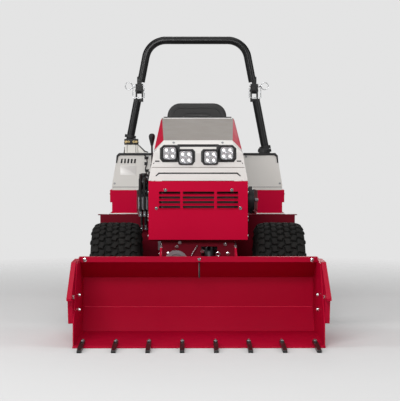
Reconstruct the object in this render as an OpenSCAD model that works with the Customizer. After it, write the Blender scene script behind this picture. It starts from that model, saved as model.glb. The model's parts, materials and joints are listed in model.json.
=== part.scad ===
// Articulated compact tractor with a folding roll bar and a toothed front bucket.
// X runs across the machine, Y from the front (negative) to the rear, Z up from the ground.

/* [Wheels] */
// Outer diameter of a tyre
tyre_d = 559; // [480:1:660]
// Width of a tyre
tyre_w = 305; // [240:1:320]
// Width across the outer sides of the tyres
track_w = 1232; // [1150:1:1400]
// Distance between the front and rear axles
wheelbase = 1130; // [1080:1:1400]
// Diameter of a rim at the bead
rim_d = 305; // [260:1:330]

/* [Bucket] */
// Width of the bucket inside its end plates
bucket_w = 1238; // [1100:1:1500]
// Height of the bucket to the top of its rim
bucket_h = 417; // [360:1:460]
// Depth of the bucket from its cutting edge to its back
bucket_d = 580; // [500:1:620]
// Thickness of the bucket plates
bucket_t = 6; // [4:0.5:8]
// Number of teeth
teeth = 8; // [5:1:10]
// Length of a tooth in front of the cutting edge
tooth_reach = 175; // [100:1:220]
// Width of a tooth
tooth_w = 22; // [18:1:40]

/* [Hood and grille] */
// Width of the grille panel
panel_w = 547; // [500:1:580]
// Height of the grille panel
panel_h = 324; // [280:1:360]
// Height of the hood at its front, above the grille panel
hood_front_h = 220; // [190:1:260]
// Height of the hood at its rear, above the grille panel
hood_rear_h = 361; // [320:1:400]
// Width of the light lamps
lamp_w = 76; // [60:1:80]
// Thickness of the sheet metal skins
skin_t = 4; // [2:0.5:5]

/* [Roll bar] */
// Diameter of the roll bar tube
bar_d = 52; // [44:1:58]
// Height of the centre of the roll bar's top tube
bar_top = 1710; // [1600:1:1850]
// Height of the fold hinge
bar_fold = 1372; // [1300:1:1450]
// Sideways distance of each fold hinge from the middle
bar_half = 388; // [360:1:400]
// Lean of the legs towards the middle, in degrees
bar_lean = 11; // [8:0.5:12]

/* [Rear body] */
// Half width across the top of the consoles
console_half = 508; // [500:1:530]
// Height of the console tops above the tyres
console_rise = 391; // [360:1:430]
// Thickness of the console and side box shells
shell_t = 4; // [3:0.5:5]
// Width of the seat cushion
seat_w = 450; // [400:1:470]

/* [Hydraulics] */
// Outer diameter of the lift and tilt cylinders
ram_d = 50; // [44:1:54]
// Diameter of their rods
ram_rod_d = 24; // [20:1:28]

/* [Hidden] */
$fn = 48;

// Radial clearance of a shaft in its bore
fit = 0.05;
// Clearance between pieces that pass each other
gap = 1;

crimson = "#a80f35";
dark_red = "#7c0c26";
white = "#f0ebe6";
grey = "#cdc6c2";
taupe = "#a29a93";
black = "#222222";
rubber = "#1b1b19";
steel = "#9a9ca0";
bright = "#c9ccd0";
cast = "#55585c";
amber = "#fff3d6";

// Axles and the middle joint
axle_z = tyre_d / 2;
front_axle_y = -160;
rear_axle_y = front_axle_y + wheelbase;
pivot_y = rear_axle_y - 565;
wheel_x = (track_w - tyre_w) / 2;
tyre_in_x = wheel_x - tyre_w / 2;

// Heights of the frames and of what stands on them
rail_z = axle_z + 50.5;
rail_h = 150;
rail_top = rail_z + rail_h;
shaft_z = rail_z + 75;
hood_z = rail_top + panel_h;

// Front frame
rail_x = 190;
rail_t = 12;
front_y = -410;
panel_y = front_y - 50;
panel_half = panel_w / 2;
post_w = 24;
dash_y = 190;
cross_y = front_axle_y + 430;

// Lift arms and cylinders, as [y, z] places of their cross pins
lift_pin = [-330, rail_z - 30];
lift_pin_r = 15;
arm_x = rail_x + rail_t + 23;
arm_t = 12;
cutting_y = -1215;
back_y = cutting_y + bucket_d;
tilt_pin = [back_y + 45, 95];
tilt_pin_r = 15;
lift_foot = [lift_pin[0] - 150, lift_pin[1] - 120];
lift_head = [lift_pin[0] + 30, lift_pin[1] + 140];
tilt_foot = [lift_pin[0], lift_pin[1] - 100];
tilt_head = [tilt_pin[0], tilt_pin[1] + 180];
foot_r = 15;
head_r = 10;
lift_x = 62;
tilt_x = -30;
eye_half = 14;
// Room round a pin whose linkage is opened there
open_gap = 8;

// Hood, as heights and places of its skins
hood_rear_y = dash_y - 20;
hood_hinge = [hood_rear_y - 10, hood_z + hood_rear_h - 20];
hood_hinge_r = 5;
lamp_z_out = hood_z + 154;
lamp_z_in = hood_z + 132;
lamp_x_out = 158;
lamp_x_in = 68;

// Roll bar
bar_y = rear_axle_y + 250;
// Its legs keep their feet on the consoles
bar_x = bar_half + (tyre_d - 559) * tan(bar_lean);
bar_r = bar_d / 2;
bend_r = 137;
fold_pin_r = 8;
lock_pin_r = 6;
lock_up = 30;
tongue_half = 15;
ear_t = 10;
ear_half = 22;
ear_in = tongue_half + 0.4;
tongue_top = 58;
cap_drop = 56;
leg_drop = bar_fold - (tyre_d + 310 + 2.2 * (bar_d - 52));

// Rear frame
rear_rail_x = 150;
rear_front_y = pivot_y + 95;
rear_end_y = rear_axle_y + 360;
yoke_pin_r = 20;
yoke_shaft_r = 30;
ram_arm = 90;
steer_x = -82;
console_y0 = rear_axle_y - 330;
console_y1 = rear_axle_y + 280;
box_z0 = tyre_d + 13;
box_z1 = tyre_d + 159;
console_top = tyre_d + console_rise;
console_in = 292;
console_out = 540;
tower_top = console_top + 94;
outrigger_h = 26;
outrigger_z = box_z0 - 6 - outrigger_h;

// Seat
seat_y0 = rear_axle_y - 330;
seat_rail_z = rail_top + 220;
seat_pivot = [seat_y0 + 435, seat_rail_z + 162];

function lean_x(z) = bar_x + (bar_fold - z) * tan(bar_lean);
function mid(a, b) = (a + b) / 2;

// A flat shape in the Y-Z plane, made into a plate from x0 to x1
module yz(x0, x1) {
    translate([x0, 0, 0]) rotate([90, 0, 90]) linear_extrude(x1 - x0) children();
}

// A flat shape in the X-Z plane, made into a plate from y0 to y1
module xz(y0, y1) {
    translate([0, y1, 0]) rotate([90, 0, 0]) linear_extrude(y1 - y0) children();
}

// A box from its lowest to its highest corner
module block(low, high) {
    translate(low) cube(high - low);
}

// A round bar along X through the place p = [y, z]
module xrod(p, r, x0, x1) {
    translate([x0, p[0], p[1]]) rotate([0, 90, 0]) cylinder(r = r, h = x1 - x0);
}

// A round bar along Y through the place p = [x, z]
module yrod(p, r, y0, y1) {
    translate([p[0], y1, p[1]]) rotate([90, 0, 0]) cylinder(r = r, h = y1 - y0);
}

// A round bar along Z through the place p = [x, y]
module zrod(p, r, z0, z1) {
    translate([p[0], p[1], z0]) cylinder(r = r, h = z1 - z0);
}

// Both sides of the machine
module both() {
    children();
    mirror([1, 0, 0]) children();
}

// How far a link's straight sides lie inside its round ends
side_in = 0.2;

// A straight link with round ends, flat
module link2d(p, q, r) {
    translate(p) circle(r);
    translate(q) circle(r);
    translate(p) rotate(atan2(q[1] - p[1], q[0] - p[0]))
        translate([0, side_in - r]) square([norm(q - p), 2 * (r - side_in)]);
}

// Turns a child that points along +Z so that it runs from p to q in the Y-Z plane at x
module aim(x, p, q) {
    translate([x, p[0], p[1]]) rotate([-atan2(q[0] - p[0], q[1] - p[1]), 0, 0]) children();
}

// A hex nut or bolt head along +X
module hex_x(size, h) {
    rotate([0, 90, 0]) cylinder(d = size / cos(30), h = h, $fn = 6);
}

// A square plate with round corners, flat, centred
module round_square(w, h, r) {
    square([w - 2 * r, h], center = true);
    square([w, h - 2 * r], center = true);
    for (x = [-1, 1], y = [-1, 1]) translate([x * (w / 2 - r), y * (h / 2 - r)]) circle(r);
}

// ---- Front frame ----

module chassis_rail() {
    difference() {
        union() {
            block([rail_x, front_y, rail_z], [rail_x + rail_t, cross_y, rail_top]);
            yz(rail_x, rail_x + rail_t) polygon([
                [lift_pin[0] - 70, rail_z + 40], [lift_pin[0] + 70, rail_z + 40],
                [lift_pin[0] + 26, lift_pin[1]], [lift_pin[0] - 26, lift_pin[1]]]);
            xrod(lift_pin, 28, rail_x, rail_x + rail_t);
        }
        xrod(lift_pin, lift_pin_r + fit, rail_x - 1, rail_x + rail_t + 1);
    }
}

module front_chassis() color(crimson) {
    both() {
        chassis_rail();
        block([panel_half - skin_t - post_w, front_y - 8, rail_top],
            [panel_half - skin_t, front_y + 12, hood_z - 8]);
        block([rail_x - 40, dash_y + 5, rail_top], [rail_x - 36, cross_y - 25, hood_z + 76]);
        block([rail_x - 70, front_axle_y - 60, rail_z - 4], [rail_x + rail_t, front_axle_y + 60, rail_z]);
    }
    difference() {
        union() {
            block([-rail_x, front_y, rail_z], [rail_x, front_y + 10, rail_top]);
            block([-rail_x, front_y, rail_z], [rail_x, front_y + 200, rail_z + 6]);
        }
        block([lift_x - 45, front_y - 1, rail_z - 1], [lift_x + 45, lift_head[0] + 40, rail_top - 40]);
        yrod([-121, shaft_z - 50], 14 + fit, front_y - 1, front_y + 11);
    }
    block([-panel_half + skin_t, front_y - 8, rail_top - 10], [panel_half - skin_t, front_y, rail_top]);
    block([-rail_x, lift_head[0] - 20, lift_head[1] + 24], [rail_x, lift_head[0] + 20, rail_top]);
    for (s = [-1, 1]) difference() {
        yz(lift_x + s * (eye_half + 7) - 5, lift_x + s * (eye_half + 7) + 5)
            link2d([lift_head[0], rail_top - 24], lift_head, 20);
        xrod(lift_head, foot_r - 3, -rail_x, rail_x);
    }
    xrod(lift_head, foot_r - 3, lift_x - eye_half - 14, lift_x + eye_half + 14);
    difference() {
        block([-rail_x, cross_y, rail_z], [rail_x, cross_y + 12, rail_top]);
        yrod([steer_x, shaft_z], ram_d / 2 + gap, cross_y - 1, cross_y + 13);
    }
    block([-rail_x + 36, dash_y + 1, rail_top], [rail_x - 36, dash_y + 5, hood_z + 76]);
    for (z = [rail_z, rail_top - 12]) difference() {
        union() {
            zrod([0, pivot_y], 40, z, z + 12);
            block([-40, cross_y + 12, z], [40, pivot_y, z + 12]);
        }
        zrod([0, pivot_y], yoke_pin_r + fit, z - 1, z + 13);
    }
}

// An axle housing with its side tubes and hub stubs, at axle height
module axle(y, keep) {
    difference() {
        union() {
            block([-95, y - 90, axle_z - 55], [95, y + 90, rail_z - 4]);
            xrod([y, axle_z], 45, -wheel_x + 60, wheel_x - 60);
            both() xrod([y, axle_z], 62, wheel_x - 100, wheel_x - 88);
            both() xrod([y, axle_z], 25, wheel_x - 61, wheel_x + 14);
            both() xrod([y, axle_z], 31, wheel_x + 13, wheel_x + 20);
            both() block([110, y - 58, axle_z], [rail_x, y + 58, rail_z - 4]);
        }
        yrod([0, axle_z - 20], 16, y - 91, y + 91);
    }
}

module front_axle() color(cast) axle(front_axle_y);

module engine_block() color(cast) {
    block([-130, front_y + 130, rail_top + 40], [130, front_y + 400, rail_top + 210]);
    block([-105, front_y + 140, rail_top + 210], [105, front_y + 390, rail_top + 285]);
    block([-100, front_y + 150, rail_top], [100, front_y + 380, rail_top + 40]);
    yrod([0, rail_top + 90], 24, front_y + 104, front_y + 130);
    for (i = [0:2]) zrod([0, front_y + 190 + i * 75], 26, rail_top + 285, rail_top + 300);
}

module air_cleaner() color(black) {
    xrod([front_axle_y - 40, rail_top + 210], 72, 131, 290);
    xrod([front_axle_y - 40, rail_top + 210], 78, 290, 308);
    xrod([front_axle_y - 40, rail_top + 210], 60, 308, 320);
    xrod([front_axle_y - 40, rail_top + 210], 9, 320, 328);
    block([105, front_axle_y - 70, rail_top + 214], [140, front_axle_y - 10, rail_top + 280]);
}

module muffler() color(steel) {
    muffler_z = rail_top + 375;
    xrod([front_y + 270, muffler_z], 55, -120, 120);
    zrod([60, front_y + 335], 18, rail_top + 285, muffler_z);
    block([42, front_y + 300, muffler_z - 14], [78, front_y + 335, muffler_z + 14]);
}

module radiator() color(black) {
    difference() {
        block([-200, front_y + 14, rail_top], [200, front_y + 56, rail_top + 330]);
        block([-180, front_y + 13, rail_top + 30], [180, front_y + 57, rail_top + 300]);
    }
    block([-180, front_y + 20, rail_top + 30], [180, front_y + 48, rail_top + 300]);
    difference() {
        yrod([0, rail_top + 190], 150, front_y + 56, front_y + 96);
        yrod([0, rail_top + 190], 146, front_y + 55, front_y + 97);
    }
    zrod([0, front_y + 35], 22, rail_top + 330, rail_top + 345);
}

module hydrostatic_pump() color(cast) {
    block([-40, front_y + 420, rail_z + 40], [100, front_y + 540, rail_top + 40]);
    xrod([front_y + 480, rail_z + 85], 30, -50, 130);
    zrod([30, front_y + 480], 34, rail_top + 40, rail_top + 70);
}

valve_x = -308;
valve_y = front_axle_y + tyre_d / 2 - 179.5;

module hydraulic_valve() color(steel) {
    block([valve_x - 38, valve_y, rail_top + 150], [valve_x + 38, valve_y + 110, rail_top + 220]);
    block([-rail_x - rail_t - 30, valve_y + 20, rail_z + 60], [-rail_x - rail_t, valve_y + 90, rail_top + 150]);
    for (x = [-24, 0, 24], y = [28, 82])
        zrod([valve_x + x, valve_y + y], 9, rail_top + 220, rail_top + 236);
    for (x = [-24, 0, 24])
        zrod([valve_x + x, valve_y + 55], 7, rail_top + 220, rail_top + 262);
}

// Points of a hose that starts upward at the valve and dips to the pump or the cylinders
function rise(a, b, n) = [for (i = [0:n]) a + (b - a) * i / n];
function bend(c, u, v, r, n) = [for (i = [1:n]) c + r * (u * cos(90 * i / n) + v * sin(90 * i / n))];

// A closed tube along points, with rings square to the route
function unit(v) = v / norm(v);
module tube_along(pts, r, sides) {
    last = len(pts) - 1;
    ahead = [for (i = [0:last]) unit(pts[min(i + 1, last)] - pts[max(i - 1, 0)])];
    rings = [for (i = [0:last]) let (
        side = unit(cross(ahead[i], abs(ahead[i][1]) > 0.9 ? [1, 0, 0] : [0, 1, 0])),
        up = cross(side, ahead[i]))
        for (k = [0:sides - 1]) pts[i] + r * (side * cos(360 * k / sides) + up * sin(360 * k / sides))];
    walls = [for (i = [0:last - 1], k = [0:sides - 1])
        [i * sides + k, i * sides + (k + 1) % sides, (i + 1) * sides + (k + 1) % sides, (i + 1) * sides + k]];
    ends = [[for (k = [sides - 1:-1:0]) k], [for (k = [0:sides - 1]) last * sides + k]];
    polyhedron(points = rings, faces = concat([for (w = walls) [w[3], w[2], w[1], w[0]]],
        [[for (k = [0:sides - 1]) k]], [[for (k = [sides - 1:-1:0]) last * sides + k]]));
}

hose_r = 7;
hose_bend = 34;

// One hose: up from a fitting on the valve, over, and down beside the frame
module hose(x, y, over, drop) {
    z0 = rail_top + 236;
    z1 = z0 + over;
    a = [valve_x + x, valve_y + y, z0];
    out = y > 55 ? 1 : -1;
    c = [a[0], a[1] + out * hose_bend, z1];
    tube_along(concat(rise(a, [a[0], a[1], z1], 3),
        bend(c, [0, -out, 0], [0, 0, 1], hose_bend, 5),
        bend(c, [0, 0, 1], [0, out, 0], hose_bend, 5),
        rise([c[0], c[1] + out * hose_bend, z1 - 20], [c[0], c[1] + out * hose_bend, drop], 4)), hose_r, 8);
}

module hydraulic_hoses() color(rubber) {
    for (i = [0:2]) hose(-24 + 24 * i, 82, 30 + 30 * i, rail_top + 20);
    for (i = [0:2]) hose(-24 + 24 * i, 28, 80 - 26 * i, rail_top + 110);
}

// Louvre groups across the grille, as [centre, width]
louvres = [[-157, 116], [2, 172], [162, 116]];
louvre_rows = 4;
louvre_pitch = 26;
louvre_z = rail_top + 173;
louvre_h = 15;

module grille_panel() color(crimson) {
    difference() {
        union() {
            block([-panel_half, panel_y, rail_top], [panel_half, panel_y + skin_t, hood_z]);
            both() block([panel_half - skin_t, panel_y, rail_top], [panel_half, front_y + 12, hood_z]);
        }
        for (g = louvres, i = [0:louvre_rows - 1])
            block([g[0] - g[1] / 2, panel_y - 1, louvre_z + i * louvre_pitch],
                [g[0] + g[1] / 2, panel_y + skin_t + 1, louvre_z + i * louvre_pitch + louvre_h]);
    }
    for (g = louvres, i = [0:louvre_rows - 1])
        yz(g[0] - g[1] / 2, g[0] + g[1] / 2)
            translate([panel_y, louvre_z + i * louvre_pitch])
                polygon([[0, -3], [0, 0], [-6, 3], [-8, 1]]);
}

// Face bolts as [x, height above the rails]; edge bolts as heights
face_bolts = [[-180, 275], [185, 275], [-230, 175], [233, 175]];
edge_bolts = [20, 108, 125, 260];

module grille_bolts() color(bright) {
    for (b = face_bolts) {
        yrod([b[0], rail_top + b[1]], 9, panel_y - 3, panel_y);
        translate([b[0], panel_y - 3, rail_top + b[1]]) rotate([0, 0, -90]) hex_x(12, 5);
    }
    both() for (z = edge_bolts) translate([panel_half, panel_y + 22, rail_top + z]) hex_x(11, 5);
}

dash_half = 203;

module dash_panel() color(black) {
    difference() {
        yz(-dash_half, dash_half) polygon([
            [dash_y, hood_z + 76], [dash_y, hood_z + hood_rear_h + 7],
            [dash_y + 8, hood_z + hood_rear_h + 7], [dash_y + 76, hood_z + 290],
            [dash_y + 76, hood_z + 76]]);
        yz(-dash_half + shell_t, dash_half - shell_t) polygon([
            [dash_y + shell_t, hood_z + 75], [dash_y + shell_t, hood_z + hood_rear_h - 1],
            [dash_y + 7, hood_z + hood_rear_h - 1], [dash_y + 72, hood_z + 286],
            [dash_y + 72, hood_z + 75]]);
    }
    for (s = [-1, 1]) yz(s * 158 - 6, s * 158 + 6)
        link2d(hood_hinge, [dash_y + 2, hood_hinge[1] - 30], 9);
    both() xrod(hood_hinge, hood_hinge_r, 134, 158);
    for (x = [-60, 60]) translate([x, dash_y + 49, hood_z + 325]) rotate([-50, 0, 0]) cylinder(r = 26, h = 8);
}

wheel_tilt = 18;
wheel_r = 175;
wheel_y = dash_y + 190;
wheel_z = hood_z + 314;

// Along the steering shaft, from the wheel's centre
module on_column() {
    translate([0, wheel_y, wheel_z]) rotate([-wheel_tilt, 0, 0]) children();
}

module steering_column() color(black) {
    on_column() translate([0, 0, -60]) cylinder(r = 9, h = 66);
    difference() {
        on_column() translate([0, 0, -110]) cylinder(r = 26, h = 70);
        block([-60, dash_y - 60, hood_z], [60, dash_y + 76, wheel_z]);
    }
    block([-22, dash_y + 76, wheel_z - 110], [22, wheel_y - 36, wheel_z - 62]);
    block([-48, dash_y + 76, wheel_z - 112], [48, dash_y + 84, wheel_z - 40]);
}

module steering_wheel() color(black) on_column() {
    rotate_extrude() translate([wheel_r - 13, 0]) circle(13);
    difference() {
        translate([0, 0, -34]) cylinder(r = 32, h = 34);
        translate([0, 0, -40]) cylinder(r = 9 + fit, h = 47);
    }
    difference() {
        cylinder(r = 36, h = 12);
        translate([0, 0, -1]) cylinder(r = 9 + fit, h = 7.5);
    }
    for (a = [90, 210, 330]) rotate(a) block([28, -11, -4], [wheel_r - 16, 11, 4]);
}

lever_x = -272;
lever_foot = [dash_y + 12, hood_z + 70];

module drive_lever() color(black) {
    xrod(lever_foot, 14, lever_x - 9, lever_x + 9);
    grip = [lever_foot[0] - 60, lever_foot[1] + 130];
    yz(lever_x - 5, lever_x + 5) link2d(lever_foot, grip, 6);
    difference() {
        yz(lever_x - 19, lever_x + 19) link2d(grip, grip + [0, 64], 26);
        yz(lever_x - 20, lever_x + 20) link2d(grip, grip + [0, 64], 14);
    }
}

brake_x = 216;
brake_foot = [dash_y + 20, hood_z - 40];

module parking_brake() color(black) {
    difference() {
        yz(brake_x - 4, brake_x + 4) link2d(brake_foot, brake_foot + [20, 190], 14);
        xrod(brake_foot, 8 + fit, brake_x - 5, brake_x + 5);
    }
    xrod(brake_foot + [20, 190], 19, brake_x - 11, brake_x + 11);
}

deck_z = rail_z + 8;
deck_y0 = front_axle_y + tyre_d / 2 + 10;
deck_y1 = deck_y0 + 128;
toe_top = deck_z + 252;
deck_half = 580;

module foot_platform() color(dark_red) {
    both() {
        block([rail_x + rail_t, deck_y0, deck_z], [deck_half, deck_y1, deck_z + 6]);
        block([rail_x + rail_t, deck_y0, deck_z], [deck_half, deck_y0 + 6, toe_top]);
        block([deck_half - 40, deck_y0, toe_top - 5], [deck_half + 14, deck_y0 + 40, toe_top]);
        block([rail_x + rail_t, deck_y0, toe_top - 5], [deck_half, deck_y0 + 22, toe_top]);
    }
    for (x = [lever_x + 9 + gap, brake_x - 4 - gap - 8]) difference() {
        foot = x < 0 ? lever_foot : brake_foot;
        yz(x, x + 8) polygon([[foot[0] - 14, foot[1]], [foot[0] + 14, foot[1]],
            [deck_y1 - 10, deck_z + 6], [deck_y0 + 40, deck_z + 6]]);
        xrod(foot, 8 + fit, x - 1, x + 9);
    }
    xrod(brake_foot, 8, brake_x - 13 , brake_x + 10);
}

ram_r = ram_d / 2;
rod_r = ram_rod_d / 2;

module steering_cylinder() color(steel) difference() {
    union() {
        yrod([steer_x, shaft_z], ram_r, cross_y - 240, cross_y + 30);
        block([steer_x - 14, cross_y - 270, shaft_z - 14], [steer_x + 14, cross_y - 239, shaft_z + 14]);
    }
    yrod([steer_x, shaft_z], rod_r + fit, cross_y - 220, cross_y + 31);
}

module steering_rod() color(bright) {
    eye_r = head_r + 9.5;
    yrod([steer_x, shaft_z], rod_r, cross_y - 120, pivot_y - eye_r - 3);
    difference() {
        zrod([steer_x, pivot_y], eye_r + 8, shaft_z - 13, shaft_z + 13);
        zrod([steer_x, pivot_y], eye_r, shaft_z - 14, shaft_z + 14);
    }
}

// ---- Hood ----

// Corners of the hood's outer or inner surface; t is how far it lies inside the outer one
function hood_points(t) = let (
    w0 = panel_half - t, w1 = 246 - t, w2 = 192 - t / 2, w3 = 211 - t / 2,
    y0 = panel_y + 8 + t, y1 = panel_y + 20 + t, y2 = panel_y + 40 + t, y3 = panel_y + 58 + t,
    low = hood_z + 2 - (t > 0 ? 10 : 0), rear = hood_rear_y + (t > 0 ? 10 : 0),
    top = hood_z + hood_front_h - t, top2 = hood_z + hood_rear_h - t)
    [for (s = [-1, 1]) each [
        [s * w0, y0, low], [s * w1, y1, hood_z + 154], [s * w2, y2, top - 16], [s * w2, y3, top],
        [s * w3, rear, top2], [s * (w3 + 9 - t / 2), rear, top2 - 16], [s * w0, rear, low]]];

module hood_solid(t) {
    p = hood_points(t);
    hull() polyhedron(points = p, faces = [[for (i = [0:len(p) - 1]) i]]);
}

module hood_skin() {
    difference() {
        hood_solid(0);
        hood_solid(skin_t);
    }
}

front_split = panel_y + 70;
top_half = 192;
top_half_rear = 212;

// Everything over the top panel of the hood, between its two side seams
module over_top(low) {
    translate([0, 0, low]) linear_extrude(hood_z + hood_rear_h + 1 - low) polygon([
        [-top_half, front_split], [top_half, front_split],
        [top_half_rear, hood_rear_y + 1], [-top_half_rear, hood_rear_y + 1]]);
}

module lamps(w, y0, y1) {
    for (s = [-1, 1]) {
        translate([s * lamp_x_out, 0, lamp_z_out]) xz(y0, y1) round_square(w, w, 10);
        translate([s * lamp_x_in, 0, lamp_z_in]) xz(y0, y1) round_square(w, w, 10);
    }
}

module hood_front() color(white) difference() {
    intersection() {
        hood_skin();
        block([-panel_half, panel_y, hood_z], [panel_half, front_split, hood_z + hood_rear_h]);
    }
    lamps(lamp_w + 6 + gap, panel_y - 10, front_split + 10);
}

module hood_top() color(taupe) {
    intersection() {
        hood_skin();
        over_top(hood_z + hood_front_h - 30);
    }
    both() difference() {
        union() {
            xrod(hood_hinge, 9, 136, 148);
            intersection() {
                block([136, hood_hinge[0] - 8.5, hood_hinge[1]], [148, hood_hinge[0] + 8.5, hood_hinge[1] + 40]);
                hood_solid(skin_t / 2);
            }
        }
        xrod(hood_hinge, hood_hinge_r + fit, 135, 149);
    }
}

module hood_sides() color(crimson) both() intersection() {
    hood_skin();
    difference() {
        block([top_half - 10, front_split, hood_z], [panel_half + 1, hood_rear_y + 1, hood_z + hood_rear_h + 1]);
        over_top(hood_z - 1);
    }
}

lamp_y = panel_y + 2;

module lamp_housings() color(black) difference() {
    lamps(lamp_w + 6, lamp_y, lamp_y + 70);
    lamps(lamp_w - 6, lamp_y - 1, lamp_y + 12);
}

module lamp_lenses() color(amber) lamps(lamp_w - 6, lamp_y + 5, lamp_y + 12);

fan_y = front_y + 72;

module cooling_fan() color(black) translate([0, 0, rail_top + 190]) {
    yrod([0, 0], 34, fan_y - 10, fan_y + 30);
    for (a = [0:60:300]) rotate([0, a, 0]) translate([30, fan_y, 0]) rotate([28, 0, 0])
        block([0, -2, -22], [106, 2, 22]);
}

pto_x = -121;
pto_z = shaft_z - 50;

module pto_pulley() color(bright) {
    translate([pto_x, front_y - 2, pto_z]) rotate([90, 0, 0]) rotate_extrude() polygon([
        [0, 0], [64, 0], [64, 4], [50, 12], [50, 16], [64, 24], [64, 28], [44, 28], [40, 20],
        [26, 20], [22, 34], [0, 34]]);
    yrod([pto_x, pto_z], 14, front_y - 2, front_y + 60);
    yrod([pto_x, pto_z], 18, front_y + 12, front_y + 24);
}

// ---- Middle joint ----

module pivot_yoke() color(cast) {
    zrod([0, pivot_y], yoke_pin_r, rail_z - 12, rail_top + 12);
    for (z = [rail_z - 18, rail_top + 6]) zrod([0, pivot_y], 28, z, z + 12);
    block([-32, pivot_y - 32, rail_z + 15], [32, pivot_y + 34, rail_top - 15]);
    yrod([0, shaft_z], yoke_shaft_r, pivot_y + 33, rear_front_y + 120);
    yrod([0, shaft_z], 40, rear_front_y + 105, rear_front_y + 120);
    block([-ram_arm, pivot_y - 14, shaft_z + 14], [0, pivot_y + 14, shaft_z + 26]);
    zrod([-ram_arm, pivot_y], 18, shaft_z + 14, shaft_z + 26);
    zrod([-ram_arm, pivot_y], head_r, shaft_z - 16, shaft_z + 20);
}

// ---- Rear frame ----

module rear_chassis() color(crimson) {
    both() {
        block([rear_rail_x, rear_front_y, rail_z], [rear_rail_x + rail_t, rear_end_y, rail_top]);
        block([rear_rail_x + rail_t, bar_y - 25, outrigger_z], [490, bar_y + 25, outrigger_z + outrigger_h]);
        block([rear_rail_x + 3, bar_y - 25, rail_top], [rear_rail_x + rail_t, bar_y + 25, outrigger_z + outrigger_h]);
        block([rear_rail_x + 3, console_y0 + 40, rail_top], [rear_rail_x + rail_t, console_y0 + 70, outrigger_z + outrigger_h]);
        block([rear_rail_x + rail_t, console_y0 + 40, outrigger_z], [490, console_y0 + 70, outrigger_z + outrigger_h]);
        block([rear_rail_x - 40, rear_axle_y - 60, rail_z - 4], [rear_rail_x + rail_t, rear_axle_y + 60, rail_z]);
    }
    difference() {
        union() {
            block([-rear_rail_x, rear_front_y, rail_z], [rear_rail_x, rear_front_y + 12, rail_top]);
            yrod([0, shaft_z], 46, rear_front_y - 10, rear_front_y + 104);
        }
        yrod([0, shaft_z], yoke_shaft_r + fit, rear_front_y - 11, rear_front_y + 105);
    }
    block([-rear_rail_x, console_y0 + 80, rail_top - 6], [rear_rail_x, rear_end_y, rail_top]);
    difference() {
        block([-rear_rail_x, rear_end_y - 12, rail_z], [rear_rail_x, rear_end_y, rail_top - 6]);
        for (x = [-hitch_x / 2, hitch_x / 2], z = [-hitch_z / 2, hitch_z / 2])
            yrod([x, shaft_z + z], hitch_hole_r, rear_end_y - 13, rear_end_y + 1);
    }
    both() block([rear_rail_x - 8, seat_y0 + 60, rail_top], [rear_rail_x - 4, seat_y0 + 400, seat_rail_z]);
    block([-rear_rail_x + 4, seat_y0 + 56, rail_top], [rear_rail_x - 4, seat_y0 + 60, seat_rail_z]);
    block([-rear_rail_x + 4, seat_y0 + 400, rail_top], [rear_rail_x - 4, seat_y0 + 404, seat_rail_z]);
    both() difference() {
        block([rear_rail_x - 44, seat_y0 + 60, seat_rail_z - 6], [rear_rail_x - 4, seat_y0 + 400, seat_rail_z + 14]);
        block([rear_rail_x - 33, seat_y0 + 59, seat_rail_z], [rear_rail_x - 15, seat_y0 + 401, seat_rail_z + 15]);
    }
}

hitch_x = 180;
hitch_z = 90;
hitch_hole_r = 7;

module rear_axle() color(cast) axle(rear_axle_y);

// Outline of a console across the machine, from its inner edge; t is how far it lies inside
function console_outline(t) = [
    [console_in + t, box_z1 + 60], [console_in + 26 + t, box_z1 + 20], [console_in + 83, box_z1 + (t > 0 ? -1 : 0)],
    [console_out - t, box_z1 + (t > 0 ? -1 : 0)], [console_out - t, box_z1 + 30],
    [console_half - t, console_top - 15], [console_half - 15 - t, console_top - t], [console_in + t, console_top - t]];

module console() {
    difference() {
        xz(console_y0, console_y1) polygon(console_outline(0));
        xz(console_y0 + shell_t, console_y1 - shell_t) polygon(console_outline(shell_t));
        post_hole();
    }
}

// Room for a roll bar post through a console
module post_hole() {
    x = lean_x(console_top);
    translate([x, bar_y, console_top]) rotate([0, -bar_lean, 0])
        translate([0, 0, -60]) cylinder(r = bar_r + 6, h = 220);
    block([console_half - 75, bar_y - 27, box_z1 - 2], [console_half - 15, bar_y + 27, console_top - 60]);
}

module console_left() color(grey) difference() {
    console();
    zrod([fuel_x, fuel_y], 30 + gap, console_top - shell_t - 1, console_top + 1);
}

tower_in = 400;
tower_out = 486;

module console_right() color(grey) mirror([1, 0, 0]) {
    console();
    difference() {
        block([tower_in, bar_y - 42, console_top], [tower_out, bar_y + 30, tower_top]);
        block([tower_in + shell_t, bar_y - 42 + shell_t, console_top - 1],
            [tower_out - shell_t, bar_y + 30 - shell_t, tower_top - shell_t]);
        post_hole();
    }
}

box_in = 384;

module side_boxes() color(crimson) both() {
    difference() {
        union() {
            block([box_in, console_y0, box_z0 + 68], [553, console_y1, box_z1]);
            block([box_in, console_y0, box_z0], [540, console_y1, box_z0 + 68]);
            block([box_in - 9, console_y0 - 6, box_z0 - 6], [553, console_y1, box_z0]);
        }
        block([box_in + shell_t, console_y0 + shell_t, box_z0 + 68],
            [553 - shell_t, console_y1 - shell_t, box_z1 - shell_t]);
        block([box_in + shell_t, console_y0 + shell_t, box_z0 - 7],
            [540 - shell_t, console_y1 - shell_t, box_z0 + 69]);
        block([console_half - 75, bar_y - 27, box_z0 + 60], [console_half - 15, bar_y + 27, box_z1 + 2]);
    }
}

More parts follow.
